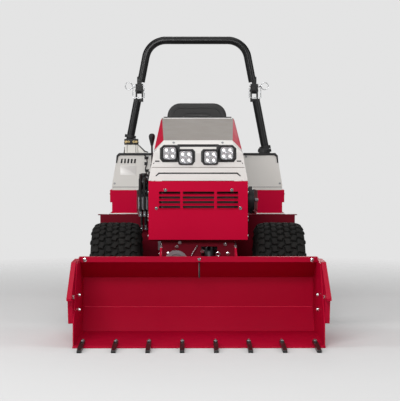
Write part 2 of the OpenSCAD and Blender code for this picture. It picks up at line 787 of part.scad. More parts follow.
module console_trims() color(black) {
    both() {
        xz(console_y0 - 5, console_y0) polygon([
            [console_in, console_top - 12], [console_in, console_top + 3], [console_half - 13, console_top + 3],
            [console_half + 3, console_top - 13], [console_half + 7, console_top - 60],
            [console_half - 1, console_top - 60], [console_half - 7, console_top - 22],
            [console_half - 20, console_top - 12]]);
    }
    for (z = [console_top + 2, console_top + 26]) difference() {
        translate([lean_x(z), bar_y, z]) rotate([0, -bar_lean, 0]) cylinder(r = bar_r + 12, h = 22);
        translate([lean_x(z), bar_y, z]) rotate([0, -bar_lean, 0])
            translate([0, 0, -9]) cylinder(r = bar_r + fit, h = 40);
        block([300, bar_y - 60, console_top - 40], [600, bar_y + 60, console_top]);
    }
    difference() {
        translate([-lean_x(tower_top), bar_y, tower_top + 8 + 0.2 * (bar_r - 26)]) rotate([0, bar_lean, 0]) cylinder(r = bar_r + 12, h = 20);
        translate([-lean_x(tower_top), bar_y, tower_top + 8 + 0.2 * (bar_r - 26)]) rotate([0, bar_lean, 0])
            translate([0, 0, -9]) cylinder(r = bar_r + 2, h = 60);
    }
}

fuel_x = 448;
fuel_y = bar_y - 80;

module fuel_cap() color(black) {
    zrod([fuel_x, fuel_y], 30, console_top - 26, console_top + 4);
    zrod([fuel_x, fuel_y], 38, console_top + 4, console_top + 24);
    block([fuel_x - 34, fuel_y - 5, console_top + 24], [fuel_x + 34, fuel_y + 5, console_top + 32]);
}

module seat_pan() color(black) {
    block([-seat_w / 2 + 25, seat_y0 + 20, seat_rail_z + 16], [seat_w / 2 - 25, seat_y0 + 420, seat_rail_z + 36]);
    both() block([rear_rail_x - 32, seat_y0 + 120, seat_rail_z + gap], [rear_rail_x - 16, seat_y0 + 340, seat_rail_z + 17]);
    both() {
        block([seat_w / 2 - 35, seat_y0 + 400, seat_rail_z + 16], [seat_w / 2 - 25, seat_pivot[0] + 14, seat_rail_z + 60]);
        difference() {
            yz(seat_w / 2 - 35, seat_w / 2 - 25) link2d([seat_pivot[0], seat_rail_z + 50], seat_pivot, 14);
            xrod(seat_pivot, 8 + fit, 0, seat_w);
        }
    }
}

module seat_cushion() color(black) {
    difference() {
        block([-seat_w / 2, seat_y0, seat_rail_z + 36], [seat_w / 2, seat_y0 + 380, seat_rail_z + 146]);
        yz(-seat_w, seat_w) translate([seat_y0, seat_rail_z + 146]) difference() {
            translate([-1, -40]) square([41, 41]);
            translate([40, -40]) circle(40);
        }
    }
}

back_w = 396;
back_top = seat_rail_z + 582;

module seat_back() color(black) {
    y0 = seat_pivot[0] - 33;
    y1 = seat_pivot[0] + 37;
    difference() {
        union() {
            xz(y0, y1) difference() {
                union() {
                    translate([-back_w / 2, seat_pivot[1] + 26]) square([back_w, back_top - seat_pivot[1] - 113]);
                    translate([-back_w / 2 + 88, seat_pivot[1] + 26]) square([back_w - 176, back_top - seat_pivot[1] - 26]);
                    for (s = [-1, 1]) translate([s * (back_w / 2 - 88), back_top - 88]) circle(88);
                }
            }
            both() yz(seat_w / 2 - 55, seat_w / 2 - 37)
                link2d(seat_pivot, seat_pivot + [0, 60], 14);
        }
        for (s = [-1, 1]) xrod(seat_pivot, 2, s * 200 - 1, s * 200 + 1);
    }
    both() xrod(seat_pivot, 8, seat_w / 2 - 54, seat_w / 2 - 20);
}

// ---- Roll bar ----

module rops_post() {
    z1 = bar_fold - cap_drop - 6;
    z0 = bar_fold - leg_drop;
    length = (z1 - z0) / cos(bar_lean);
    translate([lean_x(z0), bar_y, z0]) rotate([0, -bar_lean, 0]) cylinder(r = bar_r, h = length);
    block([console_half - 70, bar_y - 25, outrigger_z + outrigger_h], [console_half - 20, bar_y + 25, z0 + 14]);
    block([bar_x - ear_in - ear_t, bar_y - ear_half, z1 - 14], [bar_x + bar_r + 12, bar_y + ear_half, z1 + 6]);
    for (s = [-1, 1]) {
        x = bar_x + s * (ear_in + ear_t / 2);
        yz(x - ear_t / 2, x + ear_t / 2) difference() {
            union() {
                translate([bar_y, bar_fold]) circle(ear_half);
                translate([bar_y - ear_half, bar_fold - cap_drop]) square([2 * ear_half, cap_drop]);
                translate([bar_y - ear_half, bar_fold]) square([ear_half, lock_up + 14]);
            }
            translate([bar_y, bar_fold + lock_up]) circle(lock_pin_r + 0.6);
        }
    }
    xrod([bar_y, bar_fold], fold_pin_r, bar_x - ear_in - ear_t - 3, bar_x + ear_in + ear_t + 3);
}

module rops_posts() color(black) both() rops_post();

flat_half = lean_x(bar_top) - bend_r * tan((90 - bar_lean) / 2);

module rops_leg() {
    foot_z = bar_fold + tongue_top;
    end_z = bar_top - bend_r + bend_r * sin(bar_lean);
    length = (end_z - foot_z) / cos(bar_lean);
    translate([flat_half, bar_y, bar_top - bend_r]) rotate([90, 0, 0]) rotate([0, 0, bar_lean]) {
        rotate_extrude(angle = 90 - bar_lean) translate([bend_r, 0]) circle(bar_r);
        translate([bend_r, 1, 0]) rotate([90, 0, 0]) cylinder(r = bar_r - 0.3, h = length + 1);
    }
    difference() {
        yz(bar_x - tongue_half, bar_x + tongue_half)
            link2d([bar_y, bar_fold], [bar_y, foot_z + 14], ear_half);
        xrod([bar_y, bar_fold], fold_pin_r + fit, 0, 500);
        xrod([bar_y, bar_fold + lock_up], lock_pin_r + fit, 0, 500);
    }
}

module rops_hoop() color(black) {
    both() rops_leg();
    xrod([bar_y, bar_top], bar_r - 0.3, -flat_half - 1, flat_half + 1);
}

module lock_pin() {
    out_x = bar_x + ear_in + ear_t;
    xrod([bar_y, bar_fold + lock_up], lock_pin_r, bar_x - ear_in - ear_t - 6, out_x + 24);
    xrod([bar_y, bar_fold + lock_up], 10, out_x + 4, out_x + 12);
    translate([out_x + 46, bar_y, bar_fold + lock_up]) rotate([90, 0, 0])
        rotate_extrude() translate([24, 0]) circle(2.5);
    wire_y = bar_y - bar_r - 8;
    translate([out_x + 18, 0, 0]) {
        yrod([0, bar_fold + lock_up], 2.5, wire_y, bar_y);
        zrod([0, wire_y], 2.5, bar_fold + lock_up - 80, bar_fold + lock_up);
    }
    xrod([wire_y, bar_fold + lock_up - 80], 2.5, bar_x - 34, out_x + 18);
    zrod([bar_x - 34, wire_y], 2.5, bar_fold + lock_up - 80, bar_fold + lock_up - 14);
}

module lock_pin_right() color(bright) mirror([1, 0, 0]) lock_pin();

module lock_pin_left() color(bright) lock_pin();

pin_hole_r = 10;
drawbar_z = axle_z - 20;

module drawbar() color(black) difference() {
    union() {
        block([-30, rear_axle_y + 140, drawbar_z], [30, rear_end_y + 60, drawbar_z + 20]);
        block([-50, rear_axle_y + 150, drawbar_z + 20], [50, rear_end_y - 20, rail_z]);
        block([-rear_rail_x - rail_t, rear_end_y - 140, rail_z - 12], [rear_rail_x + rail_t, rear_end_y - 20, rail_z]);
    }
    zrod([0, rear_end_y + 30], pin_hole_r, drawbar_z - 1, drawbar_z + 21);
}

// ---- Wheels ----

tyre_r = tyre_d / 2;
rim_r = rim_d / 2;

// Half of a tyre's section, as [distance from the middle plane, radius]
// How much deeper or shallower the side wall is than its usual 127
slack = tyre_r - rim_r - 127;
function tyre_side() = [
    [tyre_w / 2 - 40, rim_r], [tyre_w / 2 - 40, rim_r + 14], [tyre_w / 2 - 8, rim_r + 48 + 0.37 * slack],
    [tyre_w / 2, rim_r + 72 + 0.57 * slack], [tyre_w / 2 - 2, tyre_r - 34 - 0.27 * slack],
    [tyre_w / 2 - 10, tyre_r - 16 - 0.12 * slack],
    [tyre_w / 2 - 28, tyre_r - 4], [tyre_w / 2 - 62, tyre_r]];

module tyre(x, y) color(rubber) {
    side = tyre_side();
    outer = concat([for (p = side) [p[1], p[0]]], [for (i = [len(side) - 1:-1:0]) [side[i][1], -side[i][0]]]);
    translate([x, y, axle_z]) rotate([0, 90, 0]) rotate_extrude($fn = 64) difference() {
        polygon(outer);
        polygon([[rim_r - 1, -tyre_w / 2 + 56], [rim_r - 1, tyre_w / 2 - 56],
            [rim_r + 40 + 0.31 * slack, tyre_w / 2 - 30], [rim_r + 72 + 0.57 * slack, tyre_w / 2 - 16], [tyre_r - 34 - 0.27 * slack, tyre_w / 2 - 22],
            [tyre_r - 22 - 0.17 * slack, tyre_w / 2 - 60], [tyre_r - 22 - 0.17 * slack, -tyre_w / 2 + 60],
            [tyre_r - 34 - 0.27 * slack, -tyre_w / 2 + 22], [rim_r + 72 + 0.57 * slack, -tyre_w / 2 + 16], [rim_r + 40 + 0.31 * slack, -tyre_w / 2 + 30]]);
    }
}

hub_bore = 25;
lug_circle_r = 62;

// A rim whose disc faces outward, +X; s mirrors it for the left side
module rim(s, y) color(grey) translate([s * wheel_x, y, axle_z]) mirror([s < 0 ? 1 : 0, 0, 0]) {
    bead = tyre_w / 2 - 40;
    rotate([0, 90, 0]) difference() {
        rotate_extrude($fn = 64) union() {
            polygon([[rim_r - 5, -bead], [rim_r, -bead], [rim_r, bead], [rim_r - 5, bead]]);
            for (e = [-1, 1]) translate([rim_r - 5, e * (bead + 3) - 3]) square([17, 6]);
            polygon([[hub_bore + fit, -16], [hub_bore + 20, -16], [hub_bore + 20, -4], [rim_r - 30, -4],
                [rim_r - 2, -24], [rim_r - 2, -18], [rim_r - 28, 4], [hub_bore + 20, 4],
                [hub_bore + 20, 12], [hub_bore + fit, 12]]);
        }
    }
    for (a = [0:72:288]) rotate([a, 0, 0]) translate([4, 0, lug_circle_r]) hex_x(19, 16);
}

module tyre_front_right() tyre(-wheel_x, front_axle_y);
module tyre_front_left() tyre(wheel_x, front_axle_y);
module tyre_rear_right() tyre(-wheel_x, rear_axle_y);
module tyre_rear_left() tyre(wheel_x, rear_axle_y);
module rim_front_right() rim(-1, front_axle_y);
module rim_front_left() rim(1, front_axle_y);
module rim_rear_right() rim(-1, rear_axle_y);
module rim_rear_left() rim(1, rear_axle_y);

// ---- Front work tool ----

module lift_arms() color(dark_red) {
    both() difference() {
        union() {
            yz(arm_x, arm_x + arm_t) {
                link2d(lift_pin, tilt_pin, 28);
                link2d(lift_pin, tilt_foot, 28);
                polygon([lift_pin, tilt_foot, lift_foot]);
            }
        }
        xrod(tilt_pin, tilt_pin_r + fit, arm_x - 1, arm_x + arm_t + 1);
    }
    both() xrod(lift_pin, 24, rail_x + rail_t + gap, arm_x);
    xrod(lift_pin, lift_pin_r, -arm_x, arm_x);
    xrod(lift_foot, foot_r, -arm_x, tilt_x - ram_r - 12);
    xrod(lift_foot, foot_r - 6, tilt_x - ram_r - 13, tilt_x + ram_r + 9);
    xrod(lift_foot, foot_r, tilt_x + ram_r + 8, arm_x);
    xrod(tilt_foot, foot_r, -arm_x, arm_x);
    for (s = [-1, 1], p = [[lift_x, lift_foot], [tilt_x, tilt_foot]])
        xrod(p[1], 22, p[0] + s * (eye_half + 4) - 3, p[0] + s * (eye_half + 4) + 3);
}

// A cylinder barrel with its eye round pin p, pointing to q
module barrel(x, p, q, pin_r, length) color(steel) aim(x, p, q) difference() {
    union() {
        translate([-eye_half, 0, 0]) rotate([0, 90, 0]) cylinder(r = pin_r + 8, h = 2 * eye_half);
        cylinder(r = eye_half - 1, h = pin_r + 20);
        translate([0, 0, pin_r + 14]) cylinder(r = ram_r, h = length);
        translate([0, 0, pin_r + 13 + length]) cylinder(r = ram_r - 4, h = 8);
        translate([ram_r - 4, 0, length - 12]) rotate([0, 90, 0]) cylinder(r = 8, h = 12);
    }
    translate([-eye_half - 1, 0, 0]) rotate([0, 90, 0]) cylinder(r = pin_r + fit, h = 2 * eye_half + 2);
    translate([0, 0, pin_r + 24]) cylinder(r = rod_r + fit, h = length);
}

// A cylinder rod along p to q, with an open eye round the pin at q
module ram_rod(x, p, q, start, eye_r) color(bright) aim(x, p, q) {
    reach = norm(q - p);
    translate([0, 0, start]) cylinder(r = rod_r, h = reach - eye_r - 2 - start);
    difference() {
        translate([-eye_half, 0, reach]) rotate([0, 90, 0]) cylinder(r = eye_r + 8, h = 2 * eye_half);
        translate([-eye_half - 1, 0, reach]) rotate([0, 90, 0]) cylinder(r = eye_r, h = 2 * eye_half + 2);
    }
}

module lift_cylinder() barrel(lift_x, lift_head, lift_foot, foot_r - 3, 190);
module lift_rod() ram_rod(lift_x, lift_head, lift_foot, 70, foot_r + 1.5);
module tilt_cylinder() barrel(tilt_x, tilt_foot, tilt_head, foot_r, 160);
module tilt_rod() ram_rod(tilt_x, tilt_foot, tilt_head, 85, head_r + open_gap);

// Inner surface of the bucket from behind the cutting edge up to the rim, as [y, z]
edge_back = 70;
rim_y = cutting_y + bucket_d - 180;
function bucket_path() = [
    [cutting_y + edge_back, bucket_t], [back_y - 80, 12], [back_y, 132],
    [back_y + 2, bucket_h - 126], [rim_y, bucket_h - 27]];

// A path moved sideways by t, with mitred corners
function left_of(v) = [-v[1], v[0]] / norm(v);
function moved(p, t) = [for (i = [0:len(p) - 1]) let (
    a = left_of(i == 0 ? p[1] - p[0] : p[i] - p[i - 1]),
    b = left_of(i == len(p) - 1 ? p[i] - p[i - 1] : p[i + 1] - p[i]))
    p[i] + t * (a + b) / (1 + a * b)];
function turned_round(p) = [for (i = [len(p) - 1:-1:0]) p[i]];

end_x = bucket_w / 2;

module bucket_shell() color(crimson) {
    inner = bucket_path();
    outer = moved(inner, -bucket_t);
    yz(-end_x, end_x) polygon(concat(inner, turned_round(outer)));
    block([-end_x, rim_y - 14, bucket_h - 27], [end_x, rim_y + 26, bucket_h]);
    both() difference() {
        yz(end_x, end_x + bucket_t) polygon(concat(
            [[cutting_y + edge_back, 10], [cutting_y, 10], [cutting_y, 120], [cutting_y + 210, bucket_h - 20],
                [rim_y - 14, bucket_h], [rim_y + 26, bucket_h]],
            turned_round([for (i = [0:3]) outer[i]])));
        for (b = wing_bolts) xrod(b, bolt_r, end_x - 1, end_x + bucket_t + 1);
    }
    both() difference() {
        yz(arm_x - 15, arm_x - 3) {
            translate(tilt_pin) circle(28);
            polygon([outer[1] + [10, 16], outer[2] + [0, 6], tilt_pin + [6, 27], tilt_pin + [-6, -27]]);
        }
        xrod(tilt_pin, tilt_pin_r - 1, 0, arm_x);
    }
    both() xrod(tilt_pin, tilt_pin_r, arm_x - 15, arm_x + arm_t + 6);
    for (s = [-1, 1]) yz(tilt_x + s * (eye_half + 6) - 4, tilt_x + s * (eye_half + 6) + 4) {
        translate(tilt_head) circle(22);
        polygon([[back_y + 5, tilt_head[1] - 50], [back_y + 5, tilt_head[1] + 40],
            tilt_head + [0, 22], tilt_head + [0, -22]]);
    }
    xrod(tilt_head, head_r, tilt_x - eye_half - 10, tilt_x + eye_half + 10);
    for (x = [-mast_x, mast_x]) yz(x - 5, x + 5)
        polygon([[back_y + 5, 160], [back_y + 7, bucket_h - 120], [rim_y + 26, bucket_h - 6],
            [rim_y + 150, bucket_h + 33], [back_y + 60, bucket_h + 33], [back_y + 60, bucket_h - 60], [back_y + 30, 160]]);
}

mast_x = 200;
wing_gap = 1;
wing_t = 24;
wing_x = end_x + bucket_t + wing_gap;
bolt_r = 8;
wing_bolts = [[cutting_y + 310, 225], [cutting_y + 300, 150]];
tip_bolt = [cutting_y + 40, 245];

module bucket_wings() color(crimson) both() difference() {
    union() {
        yz(wing_x, wing_x + wing_t) polygon([
            [cutting_y - 60, 250], [cutting_y + 210, bucket_h - 12], [rim_y + 26, bucket_h - 12],
            [rim_y + 26, 115], [cutting_y + 30, 115], [cutting_y, 235], [cutting_y - 60, 238]]);
        block([end_x + bucket_t, rim_y - 10, bucket_h - 30], [wing_x, rim_y + 26, bucket_h - 12]);
    }
    for (b = concat(wing_bolts, [tip_bolt])) xrod(b, bolt_r, wing_x - 1, wing_x + wing_t + 1);
}

module cutting_edge() color(crimson)
    block([-end_x - bucket_t, cutting_y - 25, 0], [end_x + bucket_t, cutting_y + edge_back, 10]);

tooth_pitch = (bucket_w - 78) / (teeth - 1);
tooth_back = 88;
tooth_h = 14;

module bucket_teeth() color(black) for (i = [0:teeth - 1]) {
    x = -tooth_pitch * (teeth - 1) / 2 + i * tooth_pitch;
    tip = cutting_y - tooth_reach;
    yz(x - tooth_w / 2, x + tooth_w / 2) polygon([
        [cutting_y + tooth_back, 10], [cutting_y + tooth_back, 10 + tooth_h], [cutting_y - 27, 10 + tooth_h],
        [tip + 8, 13], [tip, 8], [tip, 0], [cutting_y - 60, 2], [cutting_y - 27, 10]]);
    zrod([x, cutting_y + 30], 8, 10 + tooth_h, 14 + tooth_h);
}

module bucket_bolts() color(bright) {
    both() {
        for (b = wing_bolts) {
            xrod(b, bolt_r, end_x - 4, wing_x + wing_t + 8);
            xrod(b, 14, end_x + bucket_t, wing_x);
            translate([end_x, b[0], b[1]]) rotate([0, -90, 0]) cylinder(r1 = 15, r2 = 9, h = 9);
            translate([wing_x + wing_t, b[0], b[1]]) hex_x(26, 13);
        }
        xrod(tip_bolt, bolt_r, wing_x - 4, wing_x + wing_t + 4);
        translate([wing_x - 6, tip_bolt[0], tip_bolt[1]]) hex_x(18, 6);
        translate([wing_x + wing_t, tip_bolt[0], tip_bolt[1]]) hex_x(18, 7);
    }
    for (x = [-mast_x, mast_x]) {
        zrod([x, back_y + 20], 9, bucket_h + 33, bucket_h + 37);
        translate([x, back_y + 20, bucket_h + 37]) cylinder(r = 8, h = 7, $fn = 6);
    }
}

front_chassis();
front_axle();
engine_block();
air_cleaner();
muffler();
radiator();
hydrostatic_pump();
hydraulic_valve();
hydraulic_hoses();
grille_panel();
grille_bolts();
dash_panel();
steering_column();
foot_platform();
steering_cylinder();
hood_front();
hood_top();
hood_sides();
lamp_housings();
lamp_lenses();
steering_wheel();
drive_lever();
parking_brake();
cooling_fan();
pto_pulley();
pivot_yoke();
steering_rod();
rear_chassis();
rear_axle();
console_right();
console_left();
side_boxes();
console_trims();
fuel_cap();
seat_pan();
seat_cushion();
seat_back();
rops_posts();
drawbar();
rops_hoop();
lock_pin_right();
lock_pin_left();
tyre_front_right();
tyre_front_left();
tyre_rear_right();
tyre_rear_left();
rim_front_right();
rim_front_left();
rim_rear_right();
rim_rear_left();
lift_arms();
lift_cylinder();
lift_rod();
bucket_shell();
bucket_wings();
cutting_edge();
bucket_teeth();
bucket_bolts();
tilt_cylinder();
tilt_rod();
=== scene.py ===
"""Looks of an articulated compact tractor with a front bucket: materials, detailed pieces, light and camera."""

import json
import math
import random

import bmesh
import bpy
from mathutils import Matrix, Vector
from mathutils.bvhtree import BVHTree


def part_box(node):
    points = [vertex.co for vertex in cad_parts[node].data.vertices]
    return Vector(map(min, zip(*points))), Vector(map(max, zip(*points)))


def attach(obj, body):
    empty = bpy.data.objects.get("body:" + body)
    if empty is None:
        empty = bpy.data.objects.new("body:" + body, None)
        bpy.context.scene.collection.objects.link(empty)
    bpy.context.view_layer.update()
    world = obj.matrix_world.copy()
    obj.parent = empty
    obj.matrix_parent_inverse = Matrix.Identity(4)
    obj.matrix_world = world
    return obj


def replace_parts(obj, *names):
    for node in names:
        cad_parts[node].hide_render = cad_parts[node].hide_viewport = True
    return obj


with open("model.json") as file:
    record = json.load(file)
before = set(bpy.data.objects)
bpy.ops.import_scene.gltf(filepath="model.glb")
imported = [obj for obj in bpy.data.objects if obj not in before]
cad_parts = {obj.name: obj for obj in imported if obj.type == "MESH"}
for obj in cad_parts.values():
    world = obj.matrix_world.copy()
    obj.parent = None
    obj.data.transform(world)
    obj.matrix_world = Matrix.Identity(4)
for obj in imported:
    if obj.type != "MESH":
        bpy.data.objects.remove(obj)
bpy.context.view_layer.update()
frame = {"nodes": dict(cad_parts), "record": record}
nodes = frame["nodes"]
node_body = {n: b for b, ns in frame["record"]["behaviour"]["bodies"].items() for n in ns}
random.seed(11)
MM = 0.001


# ---- Materials ----

class Shader:
    """One procedural material, with short calls for its nodes. Patterns are in metres on the object."""

    def __init__(self, name):
        self.mat = bpy.data.materials.new(name)
        self.mat.use_nodes = True
        self.tree = self.mat.node_tree
        self.bsdf = self.tree.nodes["Principled BSDF"]
        self.at = self.add("ShaderNodeTexCoord").outputs["Object"]

    def add(self, kind, inputs=None, **settings):
        made = self.tree.nodes.new(kind)
        for key, value in settings.items():
            setattr(made, key, value)
        for key, value in (inputs or {}).items():
            self.feed(made.inputs[key], value)
        return made

    def feed(self, socket, value):
        if isinstance(value, bpy.types.NodeSocket):
            self.tree.links.new(value, socket)
        else:
            socket.default_value = value

    def set(self, **values):
        for key, value in values.items():
            self.feed(self.bsdf.inputs[key.replace("_", " ")], value)

    def stretched(self, scale):
        return self.add("ShaderNodeMapping", {"Vector": self.at, "Scale": scale}).outputs[0]

    def noise(self, scale, detail=3.0, rough=0.5, at=None):
        return self.add("ShaderNodeTexNoise", {"Vector": at or self.at, "Scale": scale, "Detail": detail,
                                               "Roughness": rough}).outputs["Fac"]

    def cells(self, scale, at=None, feature="F1"):
        made = self.add("ShaderNodeTexVoronoi", {"Vector": at or self.at, "Scale": scale}, feature=feature)
        return made.outputs["Distance"]

    def math(self, op, a, b=0.0, clamp=False):
        return self.add("ShaderNodeMath", {0: a, 1: b}, operation=op, use_clamp=clamp).outputs[0]

    def span(self, value, low, high, to_low=0.0, to_high=1.0):
        return self.add("ShaderNodeMapRange", {"Value": value, "From Min": low, "From Max": high,
                                               "To Min": to_low, "To Max": to_high}).outputs[0]

    def mix(self, fac, a, b, blend="MIX"):
        made = self.add("ShaderNodeMix", data_type="RGBA", blend_type=blend)
        self.feed(made.inputs[0], fac)
        self.feed(made.inputs[6], (*a, 1) if isinstance(a, tuple) else a)
        self.feed(made.inputs[7], (*b, 1) if isinstance(b, tuple) else b)
        return made.outputs[2]

    def bump(self, height, strength, distance, normal=None):
        made = self.add("ShaderNodeBump", {"Height": height, "Strength": strength, "Distance": distance})
        if normal is not None:
            self.feed(made.inputs["Normal"], normal)
        return made.outputs[0]

    def edges(self, radius):
        """1 along edges and 0 on flat faces."""
        bevel = self.add("ShaderNodeBevel", {"Radius": radius}, samples=4)
        geometry = self.add("ShaderNodeNewGeometry")
        dot = self.add("ShaderNodeVectorMath", {0: bevel.outputs[0], 1: geometry.outputs["Normal"]},
                       operation="DOT_PRODUCT").outputs["Value"]
        return self.span(dot, 0.995, 0.86)

    def upward(self):
        """1 on faces that look up and 0 on the rest."""
        normal = self.add("ShaderNodeNewGeometry").outputs["Normal"]
        z = self.add("ShaderNodeSeparateXYZ", {0: normal}).outputs["Z"]
        return self.span(z, 0.35, 1.0)


def darker(colour, share):
    return tuple(c * share for c in colour)


def paint(name, colour, edge_wear_and_highlight_colour, rough, coat, peel=0.10, edge_wear_and_highlight_share=0.5, dust=0.10, gloss=0.5):
    """Sprayed or powder coat: orange peel, uneven gloss, edges of another colour that are partly rubbed wear and partly
    a painted highlight, and a little settled dust.
    """
    s = Shader(name)
    tone = s.mix(s.noise(2.3, 4), darker(colour, 0.90), darker(colour, 1.08))
    fleck = s.mix(s.span(s.noise(900, 2), 0.35, 0.65), darker(colour, 0.95), tone)
    base = s.mix(0.7, fleck, tone)
    # edges take the edge colour: rubbed wear, and a painted highlight where that colour is lighter than the paint
    edge_wear_and_highlight = s.math("MULTIPLY", s.edges(0.0016), s.span(s.noise(60, 6, 0.7), 0.42, 0.62, 0.0, edge_wear_and_highlight_share))
    base = s.mix(edge_wear_and_highlight, base, edge_wear_and_highlight_colour)
    settled = s.math("MULTIPLY", s.upward(), s.span(s.noise(9, 6, 0.65), 0.35, 0.75, 0.0, dust))
    base = s.mix(settled, base, (0.36, 0.31, 0.27))
    smear = s.noise(6, 5, 0.6, at=s.stretched((1.0, 1.0, 0.35)))
    roughness = s.math("ADD", s.span(smear, 0.3, 0.7, rough - 0.05, rough + 0.07), s.math("MULTIPLY", settled, 0.6))
    height = s.math("ADD", s.noise(430, 2), s.math("MULTIPLY", s.noise(38, 3), 0.5))
    s.set(Base_Color=base, Roughness=roughness, Normal=s.bump(height, peel, 0.0006),
          Coat_Weight=coat, Coat_Roughness=0.16, Specular_IOR_Level=gloss)
    return s.mat


def moulding(name, colour, rough, grain=0.18, grain_scale=1500, dust=0.10):
    """Moulded plastic: fine leather-like grain, faint flow marks and corners painted lighter."""
    s = Shader(name)
    tone = s.mix(s.noise(1.7, 5, 0.6), darker(colour, 0.93), darker(colour, 1.04))
    streak = s.mix(s.span(s.noise(7, 4, 0.6, at=s.stretched((1.0, 1.0, 0.2))), 0.35, 0.75),
                   darker(colour, 0.95), tone)
    base = s.mix(0.6, streak, tone)
    # corners and edges are painted lighter than the plastic
    lighter_edges = s.math("MULTIPLY", s.edges(0.0022), s.span(s.noise(45, 5, 0.7), 0.4, 0.65, 0.0, 0.35))
    base = s.mix(lighter_edges, base, tuple(min(1.0, c * 1.25 + 0.02) for c in colour))
    settled = s.math("MULTIPLY", s.upward(), s.span(s.noise(11, 6, 0.65), 0.4, 0.8, 0.0, dust))
    base = s.mix(settled, base, (0.40, 0.36, 0.31))
    roughness = s.math("ADD", s.span(s.noise(13, 5, 0.6), 0.3, 0.7, rough - 0.04, rough + 0.06),
                       s.math("MULTIPLY", settled, 0.5))
    height = s.math("ADD", s.cells(grain_scale), s.math("MULTIPLY", s.noise(60, 3), 0.6))
    s.set(Base_Color=base, Roughness=roughness, Normal=s.bump(height, grain, 0.0003))
    return s.mat


def rubber(name, colour, rough, dirt=0.3, ribbed=0.0):
    """Rubber: matt, faintly mottled, with patches of dust."""
    s = Shader(name)
    base = s.mix(s.noise(22, 6, 0.65), darker(colour, 0.75), darker(colour, 1.4))
    powder = s.math("MULTIPLY", s.span(s.noise(7, 7, 0.7), 0.42, 0.78), s.span(s.noise(160, 3), 0.35, 0.7, 0.2, 1.0))
    base = s.mix(s.math("MULTIPLY", powder, dirt), base, (0.16, 0.14, 0.12))
    roughness = s.span(s.noise(30, 4), 0.3, 0.7, rough - 0.06, min(1.0, rough + 0.08))
    height = s.math("ADD", s.noise(700, 3, 0.6), s.math("MULTIPLY", s.noise(90, 4), 1.2))
    if ribbed:
        height = s.math("ADD", height, s.cells(ribbed))
    s.set(Base_Color=base, Roughness=roughness, Normal=s.bump(height, 0.35, 0.0006), Specular_IOR_Level=0.3)
    return s.mat


def bare_metal(name, colour, rough, brushed=(1.0, 14.0, 1.0), stain=0.25, scratch=0.12):
    """Plated, ground or chromed metal, with fine lines and small dull patches."""
    s = Shader(name)
    lines = s.noise(240, 4, 0.6, at=s.stretched(brushed))
    tone = s.mix(s.span(lines, 0.3, 0.7), darker(colour, 0.86), colour)
    patch = s.span(s.noise(26, 6, 0.7), 0.52, 0.78, 0.0, stain)
    base = s.mix(patch, tone, darker(colour, 0.55))
    roughness = s.math("ADD", s.span(lines, 0.3, 0.7, rough, rough + 0.10), s.math("MULTIPLY", patch, 0.5))
    s.set(Base_Color=base, Roughness=roughness, Normal=s.bump(lines, scratch, 0.0002), Metallic=1.0)
    return s.mat


def cast_iron():
    s = Shader("cast_metal")
    colour = (0.075, 0.078, 0.082)
    sand = s.math("ADD", s.cells(420), s.noise(190, 5, 0.65))
    base = s.mix(s.noise(8, 6, 0.7), darker(colour, 0.6), darker(colour, 1.35))
    oil = s.span(s.noise(5, 6, 0.7), 0.55, 0.72, 0.0, 0.6)
    base = s.mix(oil, base, (0.012, 0.010, 0.008))
    base = s.mix(s.math("MULTIPLY", s.edges(0.002), 0.45), base, (0.22, 0.22, 0.23))
    s.set(Base_Color=base, Roughness=s.math("SUBTRACT", 0.68, s.math("MULTIPLY", oil, 0.4)),
          Normal=s.bump(sand, 0.5, 0.0008), Metallic=0.55)
    return s.mat


def vinyl_leather():
    s = Shader("vinyl")
    colour = (0.030, 0.029, 0.029)
    warp = s.add("ShaderNodeVectorMath", {0: s.at, 1: s.stretched((1, 1, 1))}, operation="ADD").outputs[0]
    pores = s.cells(260, at=warp, feature="DISTANCE_TO_EDGE")
    creases = s.span(pores, 0.0, 0.12)
    fold = s.noise(12, 5, 0.6)
    base = s.mix(creases, darker(colour, 0.55), s.mix(fold, darker(colour, 0.85), darker(colour, 1.25)))
    polish = s.span(s.noise(5, 4), 0.35, 0.7, 0.44, 0.58)
    height = s.math("ADD", creases, s.math("MULTIPLY", fold, 1.5))
    s.set(Base_Color=base, Roughness=polish, Normal=s.bump(height, 0.32, 0.0007), Sheen_Weight=0.15,
          Sheen_Roughness=0.4)
    return s.mat


def glow(name, colour, strength):
    """A lit diode, brighter in its middle."""
    s = Shader(name)
    mottled = s.span(s.cells(900), 0.0, 0.6, 1.0, 0.75)
    base = s.mix(mottled, darker(colour, 0.8), colour)
    s.set(Base_Color=base, Emission_Color=base, Roughness=0.3, Emission_Strength=strength)
    return s.mat


def lens_cover():
    s = Shader("lamp_cover")
    s.set(Base_Color=s.mix(s.noise(40, 3), (0.86, 0.88, 0.90), (0.97, 0.97, 0.97)),
          Normal=s.bump(s.noise(120, 2), 0.08, 0.0004), Roughness=0.06, Alpha=0.16)
    return s.mat


def core_fins():
    """A radiator core: fine upright fins."""
    s = Shader("radiator_core")
    x = s.add("ShaderNodeSeparateXYZ", {0: s.at}).outputs["X"]
    z = s.add("ShaderNodeSeparateXYZ", {0: s.at}).outputs["Z"]
    fins = s.math("PINGPONG", x, 0.0011)
    tubes = s.math("PINGPONG", z, 0.0050)
    height = s.math("ADD", s.math("MULTIPLY", fins, 600), s.span(tubes, 0.0, 0.0012))
    # the fin colour runs from dark in the gaps to lighter on the fins' crests, a painted shade between the fins
    base = s.mix(s.span(fins, 0.0, 0.0011), (0.012, 0.012, 0.013), (0.09, 0.09, 0.095))
    base = s.mix(s.span(s.noise(24, 5, 0.7), 0.5, 0.8, 0.0, 0.4), base, (0.14, 0.12, 0.10))
    s.set(Base_Color=base, Roughness=0.55, Normal=s.bump(height, 0.6, 0.0012), Metallic=0.4)
    return s.mat


